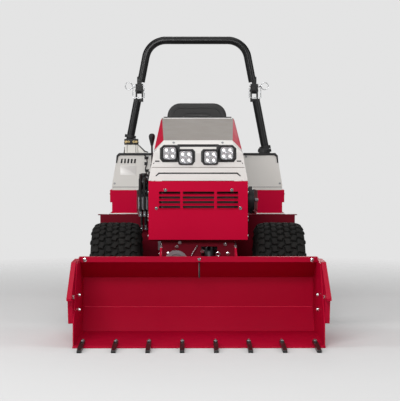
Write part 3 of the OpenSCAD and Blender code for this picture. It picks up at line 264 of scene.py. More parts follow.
CRIMSON = (0.56, 0.0015, 0.036)
MAT = {
    "red_paint": paint("red_paint", CRIMSON, (0.62, 0.10, 0.13), 0.38, 0.02, edge_wear_and_highlight_share=0.25, dust=0.01, gloss=0.06),
    # dark_red_paint is the red paint darkened, a painted shade for the frame, platforms and lift arms
    "dark_red_paint": paint("dark_red_paint", (0.16, 0.002, 0.012), (0.26, 0.16, 0.16), 0.42, 0.02, edge_wear_and_highlight_share=0.4,
                            dust=0.03, gloss=0.1),
    "white_skin": moulding("white_skin", (0.80, 0.775, 0.745), 0.33, grain=0.06),
    "grey_skin": moulding("grey_skin", (0.76, 0.74, 0.70), 0.42, grain=0.12),
    "taupe_skin": moulding("taupe_skin", (0.275, 0.245, 0.22), 0.45, grain=0.12),
    "black_plastic": moulding("black_plastic", (0.010, 0.010, 0.011), 0.50, grain=0.25, dust=0.04),
    "black_paint": paint("black_paint", (0.007, 0.007, 0.0075), (0.16, 0.16, 0.17), 0.34, 0.10, edge_wear_and_highlight_share=0.35, dust=0.03,
                         gloss=0.35),
    # tyre rubber darkened close to black: its own black, and a painted shade for tyres that sit in shadow
    "tyre_rubber": rubber("tyre_rubber", (0.0065, 0.0065, 0.006), 0.80, dirt=0.12),
    "black_rubber": rubber("black_rubber", (0.012, 0.012, 0.012), 0.62, dirt=0.15, ribbed=420),
    "vinyl": vinyl_leather(),
    "cast_metal": cast_iron(),
    "steel": bare_metal("steel", (0.42, 0.43, 0.45), 0.34),
    "chrome_rod": bare_metal("chrome_rod", (0.74, 0.75, 0.77), 0.14, stain=0.12, scratch=0.05),
    "rim_paint": paint("rim_paint", (0.50, 0.48, 0.46), (0.25, 0.24, 0.23), 0.38, 0.25),
    "lamp_lens": glow("lamp_lens", (1.0, 0.98, 0.95), 1.6),
}
# a darker copy of the red paint for the bucket, a painted shade
BUCKET_SHADED_RED = paint("bucket_red_painted_shade", (0.43, 0.0012, 0.026), (0.60, 0.10, 0.13), 0.40, 0.02, edge_wear_and_highlight_share=0.25, dust=0.01,
                   gloss=0.08)
# a lighter red for a painted highlight along the bucket's bend
BEND_HIGHLIGHT_RED = paint("bend_painted_highlight", (0.78, 0.030, 0.085), (0.60, 0.10, 0.13), 0.35, 0.05, edge_wear_and_highlight_share=0.1, dust=0.0, gloss=0.2)
REFLECTOR = bare_metal("lamp_reflector", (0.50, 0.49, 0.52), 0.24, brushed=(1, 1, 1), stain=0.05, scratch=0.04)
COVER = lens_cover()
BRASS = bare_metal("brass", (0.52, 0.40, 0.20), 0.35)
CORE = core_fins()
# a pale moulding for the console plate and the hood's edge strips, also used as a painted highlight on the side boxes'
# lower edges
PALE_TRIM_AND_HIGHLIGHT = moulding("white_trim", (0.90, 0.88, 0.85), 0.30, grain=0.03)


# ---- Mesh helpers ----

def shade(obj, angle=32):
    obj.data.polygons.foreach_set("use_smooth", [True] * len(obj.data.polygons))
    obj.data.set_sharp_from_angle(angle=math.radians(angle))
    return obj


def from_bmesh(name, bm, slot, body, material=None, angle=32):
    """Makes the mesh an object with its material, riding on its body."""
    bmesh.ops.recalc_face_normals(bm, faces=bm.faces)
    mesh = bpy.data.meshes.new(name)
    bm.to_mesh(mesh)
    bm.free()
    mesh.materials.append(material or MAT[slot])
    obj = bpy.data.objects.new(name, mesh)
    bpy.context.scene.collection.objects.link(obj)
    shade(obj, angle)
    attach(obj, body)
    return obj


def applied(obj):
    """Replaces the object's mesh with what its modifiers make."""
    graph = bpy.context.evaluated_depsgraph_get()
    graph.update()
    mesh = bpy.data.meshes.new_from_object(obj.evaluated_get(graph))
    old = obj.data
    obj.modifiers.clear()
    obj.data = mesh
    mesh.name = old.name
    return obj


def node_bmesh(node):
    bm = bmesh.new()
    bm.from_mesh(nodes[node].data)
    bmesh.ops.remove_doubles(bm, verts=bm.verts, dist=2e-6)
    bmesh.ops.dissolve_limit(bm, angle_limit=math.radians(0.6), verts=bm.verts, edges=bm.edges)
    for face in bm.faces:
        face.material_index = 0
    return bm


def refined(node, slot, bevel, segments=2, angle=24, cuts=None, name=None):
    """A copy of a CAD node with its flat faces joined and its edges rounded, which stands for the node."""
    bm = node_bmesh(node)
    obj = from_bmesh(name or node + "_finished", bm, slot, node_body[node])
    if cuts:
        cutter = cuts()
        boolean = obj.modifiers.new("cuts", "BOOLEAN")
        boolean.object, boolean.operation, boolean.solver = cutter, "DIFFERENCE", "EXACT"
        bpy.context.view_layer.update()
        applied(obj)
        bpy.data.objects.remove(cutter)
    if bevel:
        modifier = obj.modifiers.new("bevel", "BEVEL")
        modifier.width, modifier.segments = bevel * MM, segments
        modifier.limit_method, modifier.angle_limit = "ANGLE", math.radians(angle)
        modifier.use_clamp_overlap = True
        modifier.harden_normals = True
        applied(obj)
    obj.data.materials.clear()
    obj.data.materials.append(MAT[slot])
    shade(obj, 30)
    weighted = obj.modifiers.new("weighted", "WEIGHTED_NORMAL")
    weighted.keep_sharp, weighted.weight = True, 90
    applied(obj)
    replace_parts(obj, node)
    return obj


def add_box(bm, low, high):
    """A box between two corners, in mm."""
    low, high = Vector(low) * MM, Vector(high) * MM
    made = bmesh.ops.create_cube(bm, size=1.0)["verts"]
    size, middle = high - low, (high + low) / 2
    for v in made:
        v.co = Vector((v.co.x * size.x, v.co.y * size.y, v.co.z * size.z)) + middle
    return made


def turned(direction):
    """The rotation that takes +Z to a direction."""
    return Vector(direction).to_track_quat("Z", "Y").to_matrix().to_4x4()


def add_rod(bm, start, direction, radius, length, sides=24, radius2=None):
    """A round bar from start along a direction, in mm."""
    place = Matrix.Translation(Vector(start) * MM) @ turned(direction) @ Matrix.Translation((0, 0, length * MM / 2))
    return bmesh.ops.create_cone(bm, cap_ends=True, segments=sides, radius1=radius * MM,
                                 radius2=(radius if radius2 is None else radius2) * MM, depth=length * MM,
                                 matrix=place)["verts"]


def bridge(bm, rings, ends=True):
    """Joins rings of vertices in a row with faces, and closes the first and the last."""
    for a, b in zip(rings, rings[1:]):
        for i in range(len(a)):
            j = (i + 1) % len(a)
            bm.faces.new((a[i], a[j], b[j], b[i]))
    if ends:
        bm.faces.new(rings[0])
        bm.faces.new(rings[-1])


def add_lathe(bm, profile, start, direction, sides=32):
    """A turned shape: profile as [radius, distance along], in mm."""
    place = Matrix.Translation(Vector(start) * MM) @ turned(direction)
    rings = []
    for r, h in profile:
        rings.append([bm.verts.new(place @ Vector((r * MM * math.cos(a), r * MM * math.sin(a), h * MM)))
                      for a in (2 * math.pi * i / sides for i in range(sides))])
    bridge(bm, rings)


def add_bolt(bm, start, direction, size=13, head=6):
    """A hex bolt head on a washer, standing on a surface at start, in mm."""
    base = 1.6
    add_lathe(bm, [(size * 0.85, 0), (size * 0.85, 1.2), (size * 0.80, base)], start, direction, 24)
    corner = size * 0.577
    add_lathe(bm, [(corner, base), (corner, base + head * 0.8), (size * 0.48, base + head)], start, direction, 6)


def add_tube(bm, points, radius, sides=10, closed=False):
    """A round tube along points, in mm."""
    points = [Vector(p) * MM for p in points]
    count = len(points)
    rings, side = [], None
    for i, p in enumerate(points):
        ahead = points[(i + 1) % count] if closed else points[min(i + 1, count - 1)]
        behind = points[(i - 1) % count] if closed else points[max(i - 1, 0)]
        along = (ahead - behind).normalized()
        if side is None:
            side = along.orthogonal().normalized()
        side = (side - along * side.dot(along)).normalized()
        up = along.cross(side)
        rings.append([bm.verts.new(p + radius * MM * (side * math.cos(a) + up * math.sin(a)))
                      for a in (2 * math.pi * k / sides for k in range(sides))])
    bridge(bm, rings + rings[:1] if closed else rings, ends=not closed)


def add_plate(bm, outline, place):
    """A flat plate from an outline: place(u, v, w) gives a point in mm, with w 0 on one face and 1 on the other."""
    faces = [[bm.verts.new(Vector(place(u, v, w)) * MM) for u, v in outline] for w in (0, 1)]
    for ring in faces:
        bm.faces.new(ring)
    for i in range(len(outline)):
        j = (i + 1) % len(outline)
        bm.faces.new((faces[0][i], faces[0][j], faces[1][j], faces[1][i]))


def round_rect(w, h, r, steps=6):
    """Corners of a rounded rectangle, centred."""
    out = []
    for k, (sx, sy) in enumerate(((1, 1), (-1, 1), (-1, -1), (1, -1))):
        for i in range(steps + 1):
            a = math.pi / 2 * (k + i / steps)
            out.append((sx * (w / 2 - r) + r * math.cos(a), sy * (h / 2 - r) + r * math.sin(a)))
    return out


def rounded(obj, width, segments=2, angle=34):
    modifier = obj.modifiers.new("bevel", "BEVEL")
    modifier.width, modifier.segments = width * MM, segments
    modifier.limit_method, modifier.angle_limit = "ANGLE", math.radians(angle)
    modifier.harden_normals = True
    return shade(applied(obj), 40)


def smooth_line(points, steps):
    """Catmull-Rom curve through points."""
    out = []
    points = [Vector(p) for p in points]
    for i in range(len(points) - 1):
        a, b, c, d = (points[max(i - 1, 0)], points[i], points[i + 1], points[min(i + 2, len(points) - 1)])
        for k in range(steps):
            t = k / steps
            out.append(0.5 * (2 * b + (c - a) * t + (2 * a - 5 * b + 4 * c - d) * t * t
                              + (3 * b - a - 3 * c + d) * t * t * t))
    out.append(points[-1])
    return out


# ---- Carried-over CAD nodes ----

for node in nodes.values():
    for holder in node.material_slots:
        known = holder.material.name.split(".")[0]
        if known in MAT:
            holder.material = MAT[known]
        else:
            print("no finish for", node.name, known)
for holder in nodes["radiator"].material_slots:
    holder.material = CORE


# ---- Tyres ----

TYRE_R, BEAD_R = 279.5, 154
WALL = [(0, 265.5), (45, 265.5), (88, 264.2), (110, 259.5), (124, 251), (133, 239), (138, 224), (137.5, 208),
        (131, 191), (122, 177), (114.5, 167), (112.3, 158), (112.3, 153)]


def tyre_profile():
    """Points across half of the carcass, with their lengths along it, in mm."""
    line = [Vector((p[0], p[1], 0)) for p in smooth_line([(x, r, 0) for x, r in WALL], 4)]
    lengths = [0.0]
    for a, b in zip(line, line[1:]):
        lengths.append(lengths[-1] + (b - a).length)
    return line, lengths


def tyre_mesh():
    """An all-terrain tyre round X at the origin: carcass with moulded rings, and staggered tread blocks."""
    line, lengths = tyre_profile()

    def at(s, h):
        """The point at a length s across the tread and a height h above the carcass, as (x, radius)."""
        sign, s = (1, s) if s >= 0 else (-1, -s)
        i = max(k for k in range(len(lengths) - 1) if lengths[k] <= s)
        t = (s - lengths[i]) / (lengths[i + 1] - lengths[i])
        p = line[i].lerp(line[i + 1], min(t, 1.0))
        along = (line[i + 1] - line[i]).normalized()
        return sign * (p.x - along.y * h), p.y + along.x * h

    bm = bmesh.new()
    whole = [(-p.x, p.y) for p in reversed(line[1:])] + [(p.x, p.y) for p in line]
    sides = 96
    turns = [2 * math.pi * i / sides for i in range(sides)]

    def ring_at(x, r):
        return [bm.verts.new((x * MM, r * MM * math.sin(a), r * MM * math.cos(a))) for a in turns]

    rings = []
    for x, r in whole:
        # moulded rings on the side walls
        lift = 1.2 if abs(abs(x) - 137.5) < 1.6 or 188 < r < 193 else 0.0
        rings.append(ring_at(x + math.copysign(lift, x), r))
    bridge(bm, rings, ends=False)
    bridge(bm, [rings[-1], ring_at(112, BEAD_R), ring_at(-112, BEAD_R), rings[0]], ends=False)

    rows = 34
    pitch = 2 * math.pi * TYRE_R / rows
    chunky = [(-19, -13), (-7, -17), (8, -11), (19, -12), (20, 9), (8, 16), (-6, 10), (-18, 13)]
    leaning = [(-20, -9), (-12, -16), (4, -13), (20, -15), (19, 6), (11, 15), (-5, 12), (-20, 14)]
    shoulder = [(-20, -17), (16, -17), (20, -6), (13, 4), (17, 15), (-14, 17), (-19, 6), (-12, -4)]
    side_lug = [(-18, -13), (14, -13), (17, 13), (-9, 13), (-12, 2)]
    columns = [(0, 0.0, 14, chunky, 24), (37, 0.5, 14, leaning, -14), (-37, 0.5, 14, leaning, 166),
               (74, 0.0, 14, chunky, 12), (-74, 0.0, 14, chunky, 192), (107, 0.5, 12, shoulder, 0),
               (-107, 0.5, 12, shoulder, 180), (137, 0.0, 8, side_lug, 0), (-137, 0.0, 8, side_lug, 180)]
    for middle, phase, height, outline, lean in columns:
        c, s = math.cos(math.radians(lean)), math.sin(math.radians(lean))
        turned_outline = [(u * c - v * s, u * s + v * c) for u, v in outline]
        for row in range(rows):
            if middle in (137, -137) and row % 2:
                continue
            centre = (row + phase) * pitch
            jitter = 1 + 0.05 * math.sin(row * 2.4 + middle)
            levels = []
            for h, grow in ((-2, 1.06), (height - 3.2, 1.0), (height - 0.9, 0.93), (height, 0.80)):
                ring = []
                for u, v in turned_outline:
                    x, r = at(middle + v * grow, h)
                    r = min(r, TYRE_R)
                    a = (centre + u * grow * jitter) / TYRE_R
                    ring.append(bm.verts.new((x * MM, r * MM * math.sin(a), r * MM * math.cos(a))))
                levels.append(ring)
            n = len(outline)
            bridge(bm, levels, ends=False)
            bm.faces.new(levels[0])
            # the top is a fan whose middle is pressed in a little
            xc, rc = at(middle, height - 1.6)
            rc = min(rc, TYRE_R)
            a = centre / TYRE_R
            hub = bm.verts.new((xc * MM, rc * MM * math.sin(a), rc * MM * math.cos(a)))
            for i in range(n):
                bm.faces.new((levels[-1][i], levels[-1][(i + 1) % n], hub))
    bmesh.ops.recalc_face_normals(bm, faces=bm.faces)
    mesh = bpy.data.meshes.new("tyre")
    bm.to_mesh(mesh)
    bm.free()
    mesh.materials.append(MAT["tyre_rubber"])
    return mesh


tread = tyre_mesh()
for end in ("front", "rear"):
    for side in ("right", "left"):
        node = f"tyre_{end}_{side}"
        low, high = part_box(node)
        tyre = bpy.data.objects.new(node + "_tread", tread)
        bpy.context.scene.collection.objects.link(tyre)
        tyre.location = (low + high) / 2
        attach(tyre, node_body[node])
        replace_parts(tyre, node)
shade(bpy.data.objects["tyre_front_right_tread"], 38)

for end in ("front", "rear"):
    for side in ("right", "left"):
        node = f"rim_{end}_{side}"
        s = 1 if side == "left" else -1
        refined(node, "rim_paint", 1.2)
        low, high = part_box(f"tyre_{end}_{side}")
        x, y, z = (low + high) / 2 / MM
        bm = bmesh.new()
        add_lathe(bm, [(0, 0), (22, 0), (24, 2), (24, 9), (20, 12), (0, 13)], (x + s * 20.5, y, z), (s, 0, 0))
        for k in range(5):
            a = math.radians(72 * k)
            at = (x + s * 20.3, y + 62 * math.sin(a), z + 62 * math.cos(a))
            add_lathe(bm, [(4.5, 0), (4.5, 7), (3.6, 8)], at, (s, 0, 0), 12)
        from_bmesh(f"hub_cap_{end}_{side}", bm, "chrome_rod", node_body[node])
        bm = bmesh.new()
        add_lathe(bm, [(4, 0), (4, 22), (5.5, 23), (5.5, 33), (3, 35)], (x + s * 4, y, z + 128), (s, 0, -0.35), 14)
        from_bmesh(f"valve_stem_{end}_{side}", bm, "black_rubber", node_body[node])


# ---- Bucket ----

BUCKET_HALF = 619
refined("bucket_shell", "red_paint", 1.2)
refined("bucket_wings", "red_paint", 1.6)
refined("cutting_edge", "red_paint", 1.5)
# the bucket's pieces take the darker red, a painted shade
for piece in ("bucket_shell_finished", "bucket_wings_finished", "cutting_edge_finished"):
    bpy.data.objects[piece].data.materials[0] = BUCKET_SHADED_RED
refined("bucket_teeth", "black_paint", 2.2)
refined("bucket_bolts", "chrome_rod", 0.8)
# the lift arms take the darker red, a painted shade
refined("lift_arms", "dark_red_paint", 1.5)

INNER = [(-1145, 6), (-715, 12), (-635, 132), (-633, 291)]
for s, side in ((-1, "right"), (1, "left")):
    # a weld bead where the end plate meets the bent sheet
    route = []
    for (y0, z0), (y1, z1) in zip(INNER, INNER[1:]):
        steps = max(2, int(math.hypot(y1 - y0, z1 - z0) / 4))
        route += [(s * (BUCKET_HALF - 1.5), y0 + (y1 - y0) * k / steps - 1.5, z0 + (z1 - z0) * k / steps + 1.5)
                  for k in range(steps)]
    bm = bmesh.new()
    add_tube(bm, route, 3.4, 8)
    for i, v in enumerate(bm.verts):
        v.co += Vector((0, 0, 0.0007)) * math.sin(i // 8 * 1.9)
    from_bmesh(f"bucket_weld_{side}", bm, "red_paint", "bucket", BUCKET_SHADED_RED, angle=80)
# a pale red rod along the bucket's bend, a painted highlight on the bend
bm = bmesh.new()
add_rod(bm, (-BUCKET_HALF + 4, -635.2, 132), (1, 0, 0), 1.3, 2 * BUCKET_HALF - 8, 10)
from_bmesh("bucket_bend_highlight", bm, "red_paint", "bucket", BEND_HIGHLIGHT_RED, angle=80)

bm = bmesh.new()
for s in (-1, 1):
    add_bolt(bm, (s * 596, -829, 401), (0, -1, 0), 13, 6)
    add_bolt(bm, (s * 646, -800, 398), (0, 0, 1), 11, 5)
add_bolt(bm, (4, -829, 404), (0, -1, 0), 10, 5)
from_bmesh("bucket_rim_bolts", bm, "chrome_rod", "bucket")
# a thin black strip hanging down from the rim's middle bolt
bm = bmesh.new()
add_plate(bm, [(0, -6), (8, -6), (8, -86), (4, -96), (0, -86)], lambda u, v, w: (u, -815 + 1.0 - 2.6 * w, 396 + v))
rounded(from_bmesh("bucket_dark_strip", bm, "black_paint", "bucket"), 0.5)
bm = bmesh.new()
for i in range(8):
    x = -580 + i * 1160 / 7.0
    add_lathe(bm, [(10, 0), (10, 2), (8, 5.0), (4, 6.5), (0.5, 6.8)], (x, -1185, 27.5), (0, 0, 1), 20)
    add_bolt(bm, (x, -1142, 24), (0, 0, 1), 12, 6)
from_bmesh("tooth_bolts", bm, "steel", "bucket")


# ---- Hood ----

FRONT_LINE = [(806, -452), (958, -440), (1008, -420), (1024, -402)]


def hood_y(z):
    """Where the hood's front surface is at a height."""
    for (z0, y0), (z1, y1) in zip(FRONT_LINE, FRONT_LINE[1:]):
        if z <= z1:
            return y0 + (y1 - y0) * (z - z0) / (z1 - z0)
    return FRONT_LINE[-1][1]


def hood_cuts():
    """Slots and grooves of the hood's front, as one cutter."""
    bm = bmesh.new()

    def through(outline, y0=-475, y1=-400):
        add_plate(bm, outline, lambda u, v, w: (u, y0 + (y1 - y0) * w, v))

    through([(-217, 851), (217, 851), (238, 831), (229, 831), (213, 843), (-213, 843), (-229, 831), (-238, 831)])
    for s in (-1, 1):
        through([(s * x, z) for x, z in ((213, 910), (238, 910), (238, 917), (213, 917))])
        through([(s * x, z) for x, z in ((240, 905), (246, 897), (249, 899), (243, 907))])
    through([(-124, 992), (124, 992), (113, 1006.5), (-113, 1006.5)], -475, -395)
    through([(-252, 877.5), (252, 877.5), (252, 881), (-252, 881)], -475, hood_y(879) + 2.2)
    return from_bmesh("hood_cutter", bm, "black_plastic", "hood")


refined("hood_front", "white_skin", 1.4, cuts=hood_cuts)
refined("hood_top", "taupe_skin", 1.4)


def side_cuts():
    """Slanted cooling slots through the sides of the hood."""
    bm = bmesh.new()
    for s in (-1, 1):
        for k in range(4):
            y, low, high = -310 + k * 108, 900, 982 + k * 25
            lean = (high - low) * 0.2
            add_plate(bm, [(y, low), (y + 66, low), (y + 66 + lean, high), (y + lean, high)],
                      lambda u, v, w: (s * (200 + 90 * w), u, v))
    return from_bmesh("side_cutter", bm, "black_plastic", "hood")


refined("hood_sides", "red_paint", 1.4, cuts=side_cuts)

# dark liner behind the slots
bm = bmesh.new()
for z0, z1 in ((826, 856), (893, 921)):
    add_plate(bm, [(-250, z0), (250, z0), (250, z1), (-250, z1)],
              lambda u, v, w: (u, hood_y(v) + 5.2 + 2 * w, v))
add_plate(bm, [(-130, 986), (130, 986), (120, 1008), (-120, 1008)], lambda u, v, w: (u, hood_y(v) + 7 + 2 * w, v))
for s in (-1, 1):
    add_plate(bm, [(-345, 872), (40, 880), (70, 1075), (-320, 985)],
              lambda u, v, w: (s * (273.5 - (v - 806) * 0.160 - 10 - 2 * w), u, v))
from_bmesh("hood_liner", bm, "black_plastic", "hood")
bm = bmesh.new()
add_rod(bm, (-256, hood_y(879) + 0.5, 879), (1, 0, 0), 1.5, 512, 10)
from_bmesh("hood_crease", bm, "taupe_skin", "hood")

# two small screws on the front lip, and pale strips along the front and rear edges of the hood's top
bm = bmesh.new()
for x in (-135, 135):
    add_lathe(bm, [(7, 0), (7, 1.5), (5.6, 3.2), (2.6, 3.4), (2.6, 1.8), (0.4, 1.8)], (x, hood_y(1015) + 0.6, 1015),
              (0, -1, 0.9), 20)
from_bmesh("hood_screws", bm, "steel", "hood")
bm = bmesh.new()
slope = (1165 - 1024) / (170 + 402)
for x0, x1, y0, y1 in ((-207, 207, 150, 165), (-190, 190, -398, -388)):
    add_plate(bm, [(x0, y0), (x1, y0), (x1, y1), (x0, y1)],
              lambda u, v, w: (u, v, 1024 + (v + 402) * slope + 0.2 + 0.9 * w))
rounded(from_bmesh("hood_edge_strips", bm, "white_skin", "hood", PALE_TRIM_AND_HIGHLIGHT), 0.3)


# ---- Lamps ----

LAMPS = [(s * x, z, outer) for s in (-1, 1) for x, z, outer in ((158, 958, True), (68, 936, False))]


def octagon_point(a, half_w, half_h, cut):
    """Where a ray at an angle meets a rectangle with cut corners."""
    c, s = math.cos(a), math.sin(a)
    reach = min(half_w / max(abs(c), 1e-6), half_h / max(abs(s), 1e-6),
                (half_w + half_h - cut) / max(abs(c) + abs(s), 1e-6))
    return reach * c, reach * s


refined("lamp_housings", "black_plastic", 1.2)
bm = bmesh.new()
for s in (-1, 1):
    add_plate(bm, [(s * x, z) for x, z in ((101, 915), (101, 958), (101, 1003), (190, 1003), (211, 984), (211, 958),
                                           (211, 926), (196, 908), (108, 908))],
              lambda u, v, w: (u, hood_y(v) - 1.6 + 1.4 * w, v))
    add_plate(bm, [(s * x, z) for x, z in ((16, 912), (16, 958), (16, 966), (28, 980), (106, 980), (106, 958),
                                           (106, 908), (96, 893), (32, 893))],
              lambda u, v, w: (u, hood_y(v) - 1.8 + 1.4 * w, v))
from_bmesh("lamp_surrounds", bm, "black_plastic", "hood", angle=20)
bezels, cups, edge_wear_and_highlight, covers = bmesh.new(), bmesh.new(), bmesh.new(), bmesh.new()
for cx, cz, outer in LAMPS:
    half = 48 if outer else 44
    count = 64
    loops = []
    for grow, cut, out in ((half, 18, None), (half - 1.5, 18, 3.0), (42.5, 14, 15.5), (40.5, 12, 18.2), (35.6, 9, 17.0),
                           (35.2, 9, 8.0)):
        loop = []
        for i in range(count):
            u, v = octagon_point(2 * math.pi * (i + 0.5) / count, grow, grow * 0.95, cut)
            y = hood_y(cz + v) + 1.5 if out is None else (hood_y(cz + v) - out if out == 3.0 else -441.0 - out)
            loop.append(bezels.verts.new(((cx + u) * MM, max(y, -459.4) * MM, (cz + v) * MM)))
        loops.append(loop)
    bridge(bezels, loops, ends=False)
    for ix in (-1, 1):
        for iz in (-1, 1):
            px, pz = cx + ix * 17.2, cz + iz * 16.8
            rings = []
            for r, y, square in ((17.1, -451.5, 1), (16.3, -451.2, 0.9), (13.5, -449.4, 0.6), (10, -447.6, 0.3),
                                 (7, -446.5, 0.0), (4.6, -446.0, 0.0)):
                ring = []
                for k in range(24):
                    a = 2 * math.pi * k / 24
                    stretch = 1 + square * (min(1 / max(abs(math.cos(a)), abs(math.sin(a))), 1.38) - 1)
                    ring.append(cups.verts.new(((px + r * stretch * math.cos(a)) * MM, y * MM,
                                                (pz + r * stretch * math.sin(a)) * MM)))
                rings.append(ring)
            bridge(cups, rings, ends=False)
            add_lathe(edge_wear_and_highlight, [(7.2, 0), (7.0, 1.6), (5.2, 3.4), (2.2, 4.4), (0.4, 4.6)], (px, -446.2, pz),
                      (0, -1, 0), 20)
    outline = round_rect(70, 66, 9)
    front = [covers.verts.new(((cx + u) * MM, -455.2 * MM, (cz + v) * MM)) for u, v in outline]
    dome = [covers.verts.new(((cx + u * 0.93) * MM, -456.6 * MM, (cz + v * 0.93) * MM)) for u, v in outline]
    back = [covers.verts.new(((cx + u) * MM, -453.6 * MM, (cz + v) * MM)) for u, v in outline]
    bridge(covers, [dome, front, back])
from_bmesh("lamp_bezels", bezels, "black_plastic", "hood", angle=28)
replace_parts(from_bmesh("lamp_reflectors", cups, "chrome_rod", "hood", REFLECTOR), "lamp_lenses")
from_bmesh("lamp_diodes", edge_wear_and_highlight, "lamp_lens", "hood")
from_bmesh("lamp_covers", covers, "lamp_lens", "hood", COVER)


# ---- Grille and front frame ----

refined("grille_panel", "red_paint", 1.3)
refined("grille_bolts", "chrome_rod", 0.7)
# the chassis and foot platforms take the darker red, a painted shade
refined("front_chassis", "dark_red_paint", 1.2)
refined("foot_platform", "dark_red_paint", 1.2)
refined("side_boxes", "red_paint", 2.0)
refined("rear_chassis", "dark_red_paint", 1.2)

# tread plate on the foot platforms
bm = bmesh.new()
for s in (-1, 1):
    for i in range(16):
        for j in range(6):
            x, y = s * (222 + i * 23), 141 + j * 21
            if y > 250 or abs(x) > 574:
                continue
            a = math.radians(45 if (i + j) % 2 else -45)
            ring = []
            for k in range(10):
                t = 2 * math.pi * k / 10
                u, v = 9 * math.cos(t), 2.6 * math.sin(t)
                ring.append(((x + u * math.cos(a) - v * math.sin(a)), (y + u * math.sin(a) + v * math.cos(a))))
            low = [bm.verts.new((p[0] * MM, p[1] * MM, 343.8 * MM)) for p in ring]
            top = [bm.verts.new(((x + (p[0] - x) * 0.6) * MM, (y + (p[1] - y) * 0.6) * MM, 346 * MM)) for p in ring]
            bridge(bm, [low, top])
from_bmesh("platform_tread", bm, "dark_red_paint", "front_frame")

bm = bmesh.new()
for s in (-1, 1):
    for y in (-380, -230, -60, 60):
        add_bolt(bm, (s * 202, y, 450), (s, 0, 0), 15, 7)
    for y in (150, 230):
        add_bolt(bm, (s * 202, y, 385), (s, 0, 0), 15, 7)
    add_bolt(bm, (s * 165, -410, 398), (0, -1, 0), 13, 6)
from_bmesh("frame_bolts", bm, "chrome_rod", "front_frame")


# ---- Consoles and side boxes ----

refined("console_left", "grey_skin", 5.0, 3)
refined("console_right", "grey_skin", 5.0, 3)
refined("console_trims", "black_plastic", 1.5)
refined("fuel_cap", "black_plastic", 2.0, 3)

# pale strips on the lower edges of the side boxes, a painted highlight for their bright lower edge and the rolled seam
# where they fold
bm = bmesh.new()
for s in (-1, 1):
    add_box(bm, (min(s * 375, s * 553), 633.0, 566.5), (max(s * 375, s * 553), 634.2, 572.2))
    add_box(bm, (min(s * 552.6, s * 553.6), 634, 566.5), (max(s * 552.6, s * 553.6), 1250, 572.2))
rounded(from_bmesh("side_box_edge_highlights", bm, "white_skin", "rear_frame", PALE_TRIM_AND_HIGHLIGHT), 0.4)
bm = bmesh.new()
for s in (-1, 1):
    for y in (700, 1180):
        add_bolt(bm, (s * 553, y, 690), (s, 0, 0), 11, 5)
from_bmesh("side_box_bolts", bm, "chrome_rod", "rear_frame")

# a plain vent and a blank plate on the right console, seams and screws on both
bm = bmesh.new()
for k in range(5):
    x = -486 + k * 21
    add_plate(bm, [(x, 888), (x + 11, 888), (x + 15, 916), (x + 4, 916)], lambda u, v, w: (u, 640.4 - 1.2 * w, v))
rounded(from_bmesh("console_vent", bm, "black_plastic", "rear_frame"), 0.4)
bm = bmesh.new()
add_plate(bm, [(u - 437, v + 843) for u, v in round_rect(100, 62, 5)], lambda u, v, w: (u, 640.4 - 1.4 * w, v))
rounded(from_bmesh("console_plate", bm, "white_skin", "rear_frame", PALE_TRIM_AND_HIGHLIGHT), 0.4)
bm = bmesh.new()
for s in (-1, 1):
    add_tube(bm, [(s * 300, 639.6, 742), (s * 330, 639.6, 737), (s * 536, 639.6, 737)], 1.1, 6)
for x in (-412, -470):
    add_tube(bm, [(x, 1177.6, 952), (x, 1177.6, 1040)], 1.2, 6)
from_bmesh("console_seams", bm, "black_plastic", "rear_frame")
bm = bmesh.new()
for s in (-1, 1):
    for x, z in ((318, 760), (524, 760), (310, 930)):
        add_lathe(bm, [(6.5, 0), (6.5, 1.2), (5, 2.6), (2.4, 2.7), (2.4, 1.4), (0.4, 1.4)], (s * x, 640, z),
                  (0, -1, 0), 18)
for x in (-400, -486):
    for z in (985, 1020):
        add_bolt(bm, (x, 1220, z), (math.copysign(1, x + 443), 0, 0), 11, 5)
from_bmesh("console_screws", bm, "steel", "rear_frame")


# ---- Padded seat ----

PAD_VOXEL = 0.006
PAD_FRAMES = 20
DRAW_IN = 1.5


def stuffed(name, bm, body, cap, low, high, seated):
    """A stuffed vinyl pad: remeshed, swollen by cloth pressure, and kept within its box, in mm."""
    obj = from_bmesh(name, bm, "vinyl", body)
    remesh = obj.modifiers.new("remesh", "REMESH")
    remesh.mode, remesh.voxel_size = "VOXEL", PAD_VOXEL
    applied(obj)
    start = [v.co.copy() for v in obj.data.vertices]
    pins = obj.vertex_groups.new(name="pins")
    pins.add([i for i, p in enumerate(start) if seated(p / MM)], 1.0, "REPLACE")
    cloth = obj.modifiers.new("cloth", "CLOTH")
    cloth.settings.use_pressure = True
    cloth.settings.uniform_pressure_force = 4.0
    cloth.settings.vertex_group_mass = "pins"
    cloth.settings.effector_weights.gravity = 0.0
    cloth.settings.quality = 4
    for f in range(1, PAD_FRAMES + 1):
        bpy.context.scene.frame_set(f)
    applied(obj)
    bpy.context.scene.frame_set(1)
    low, high = Vector(low) * MM, Vector(high) * MM
    middle = (low + high) / 2
    for v, p in zip(obj.data.vertices, start):
        moved = v.co - p
        if moved.length > cap * MM:
            moved *= cap * MM / moved.length
        # the foam core keeps the skin from drawing in
        for i in range(3):
            if moved[i] * (p[i] - middle[i]) < 0:
                moved[i] = math.copysign(min(abs(moved[i]), DRAW_IN * MM), moved[i])
        v.co = Vector(min(max(c, a), b) for c, a, b in zip(p + moved, low, high))
    obj.data.materials.clear()
    obj.data.materials.append(MAT["vinyl"])
    smooth = obj.modifiers.new("smooth", "SMOOTH")
    smooth.factor, smooth.iterations = 0.5, 4
    finer = obj.modifiers.new("finer", "SUBSURF")
    finer.levels = finer.render_levels = 1
    applied(obj)
    shade(obj, 70)
    return obj


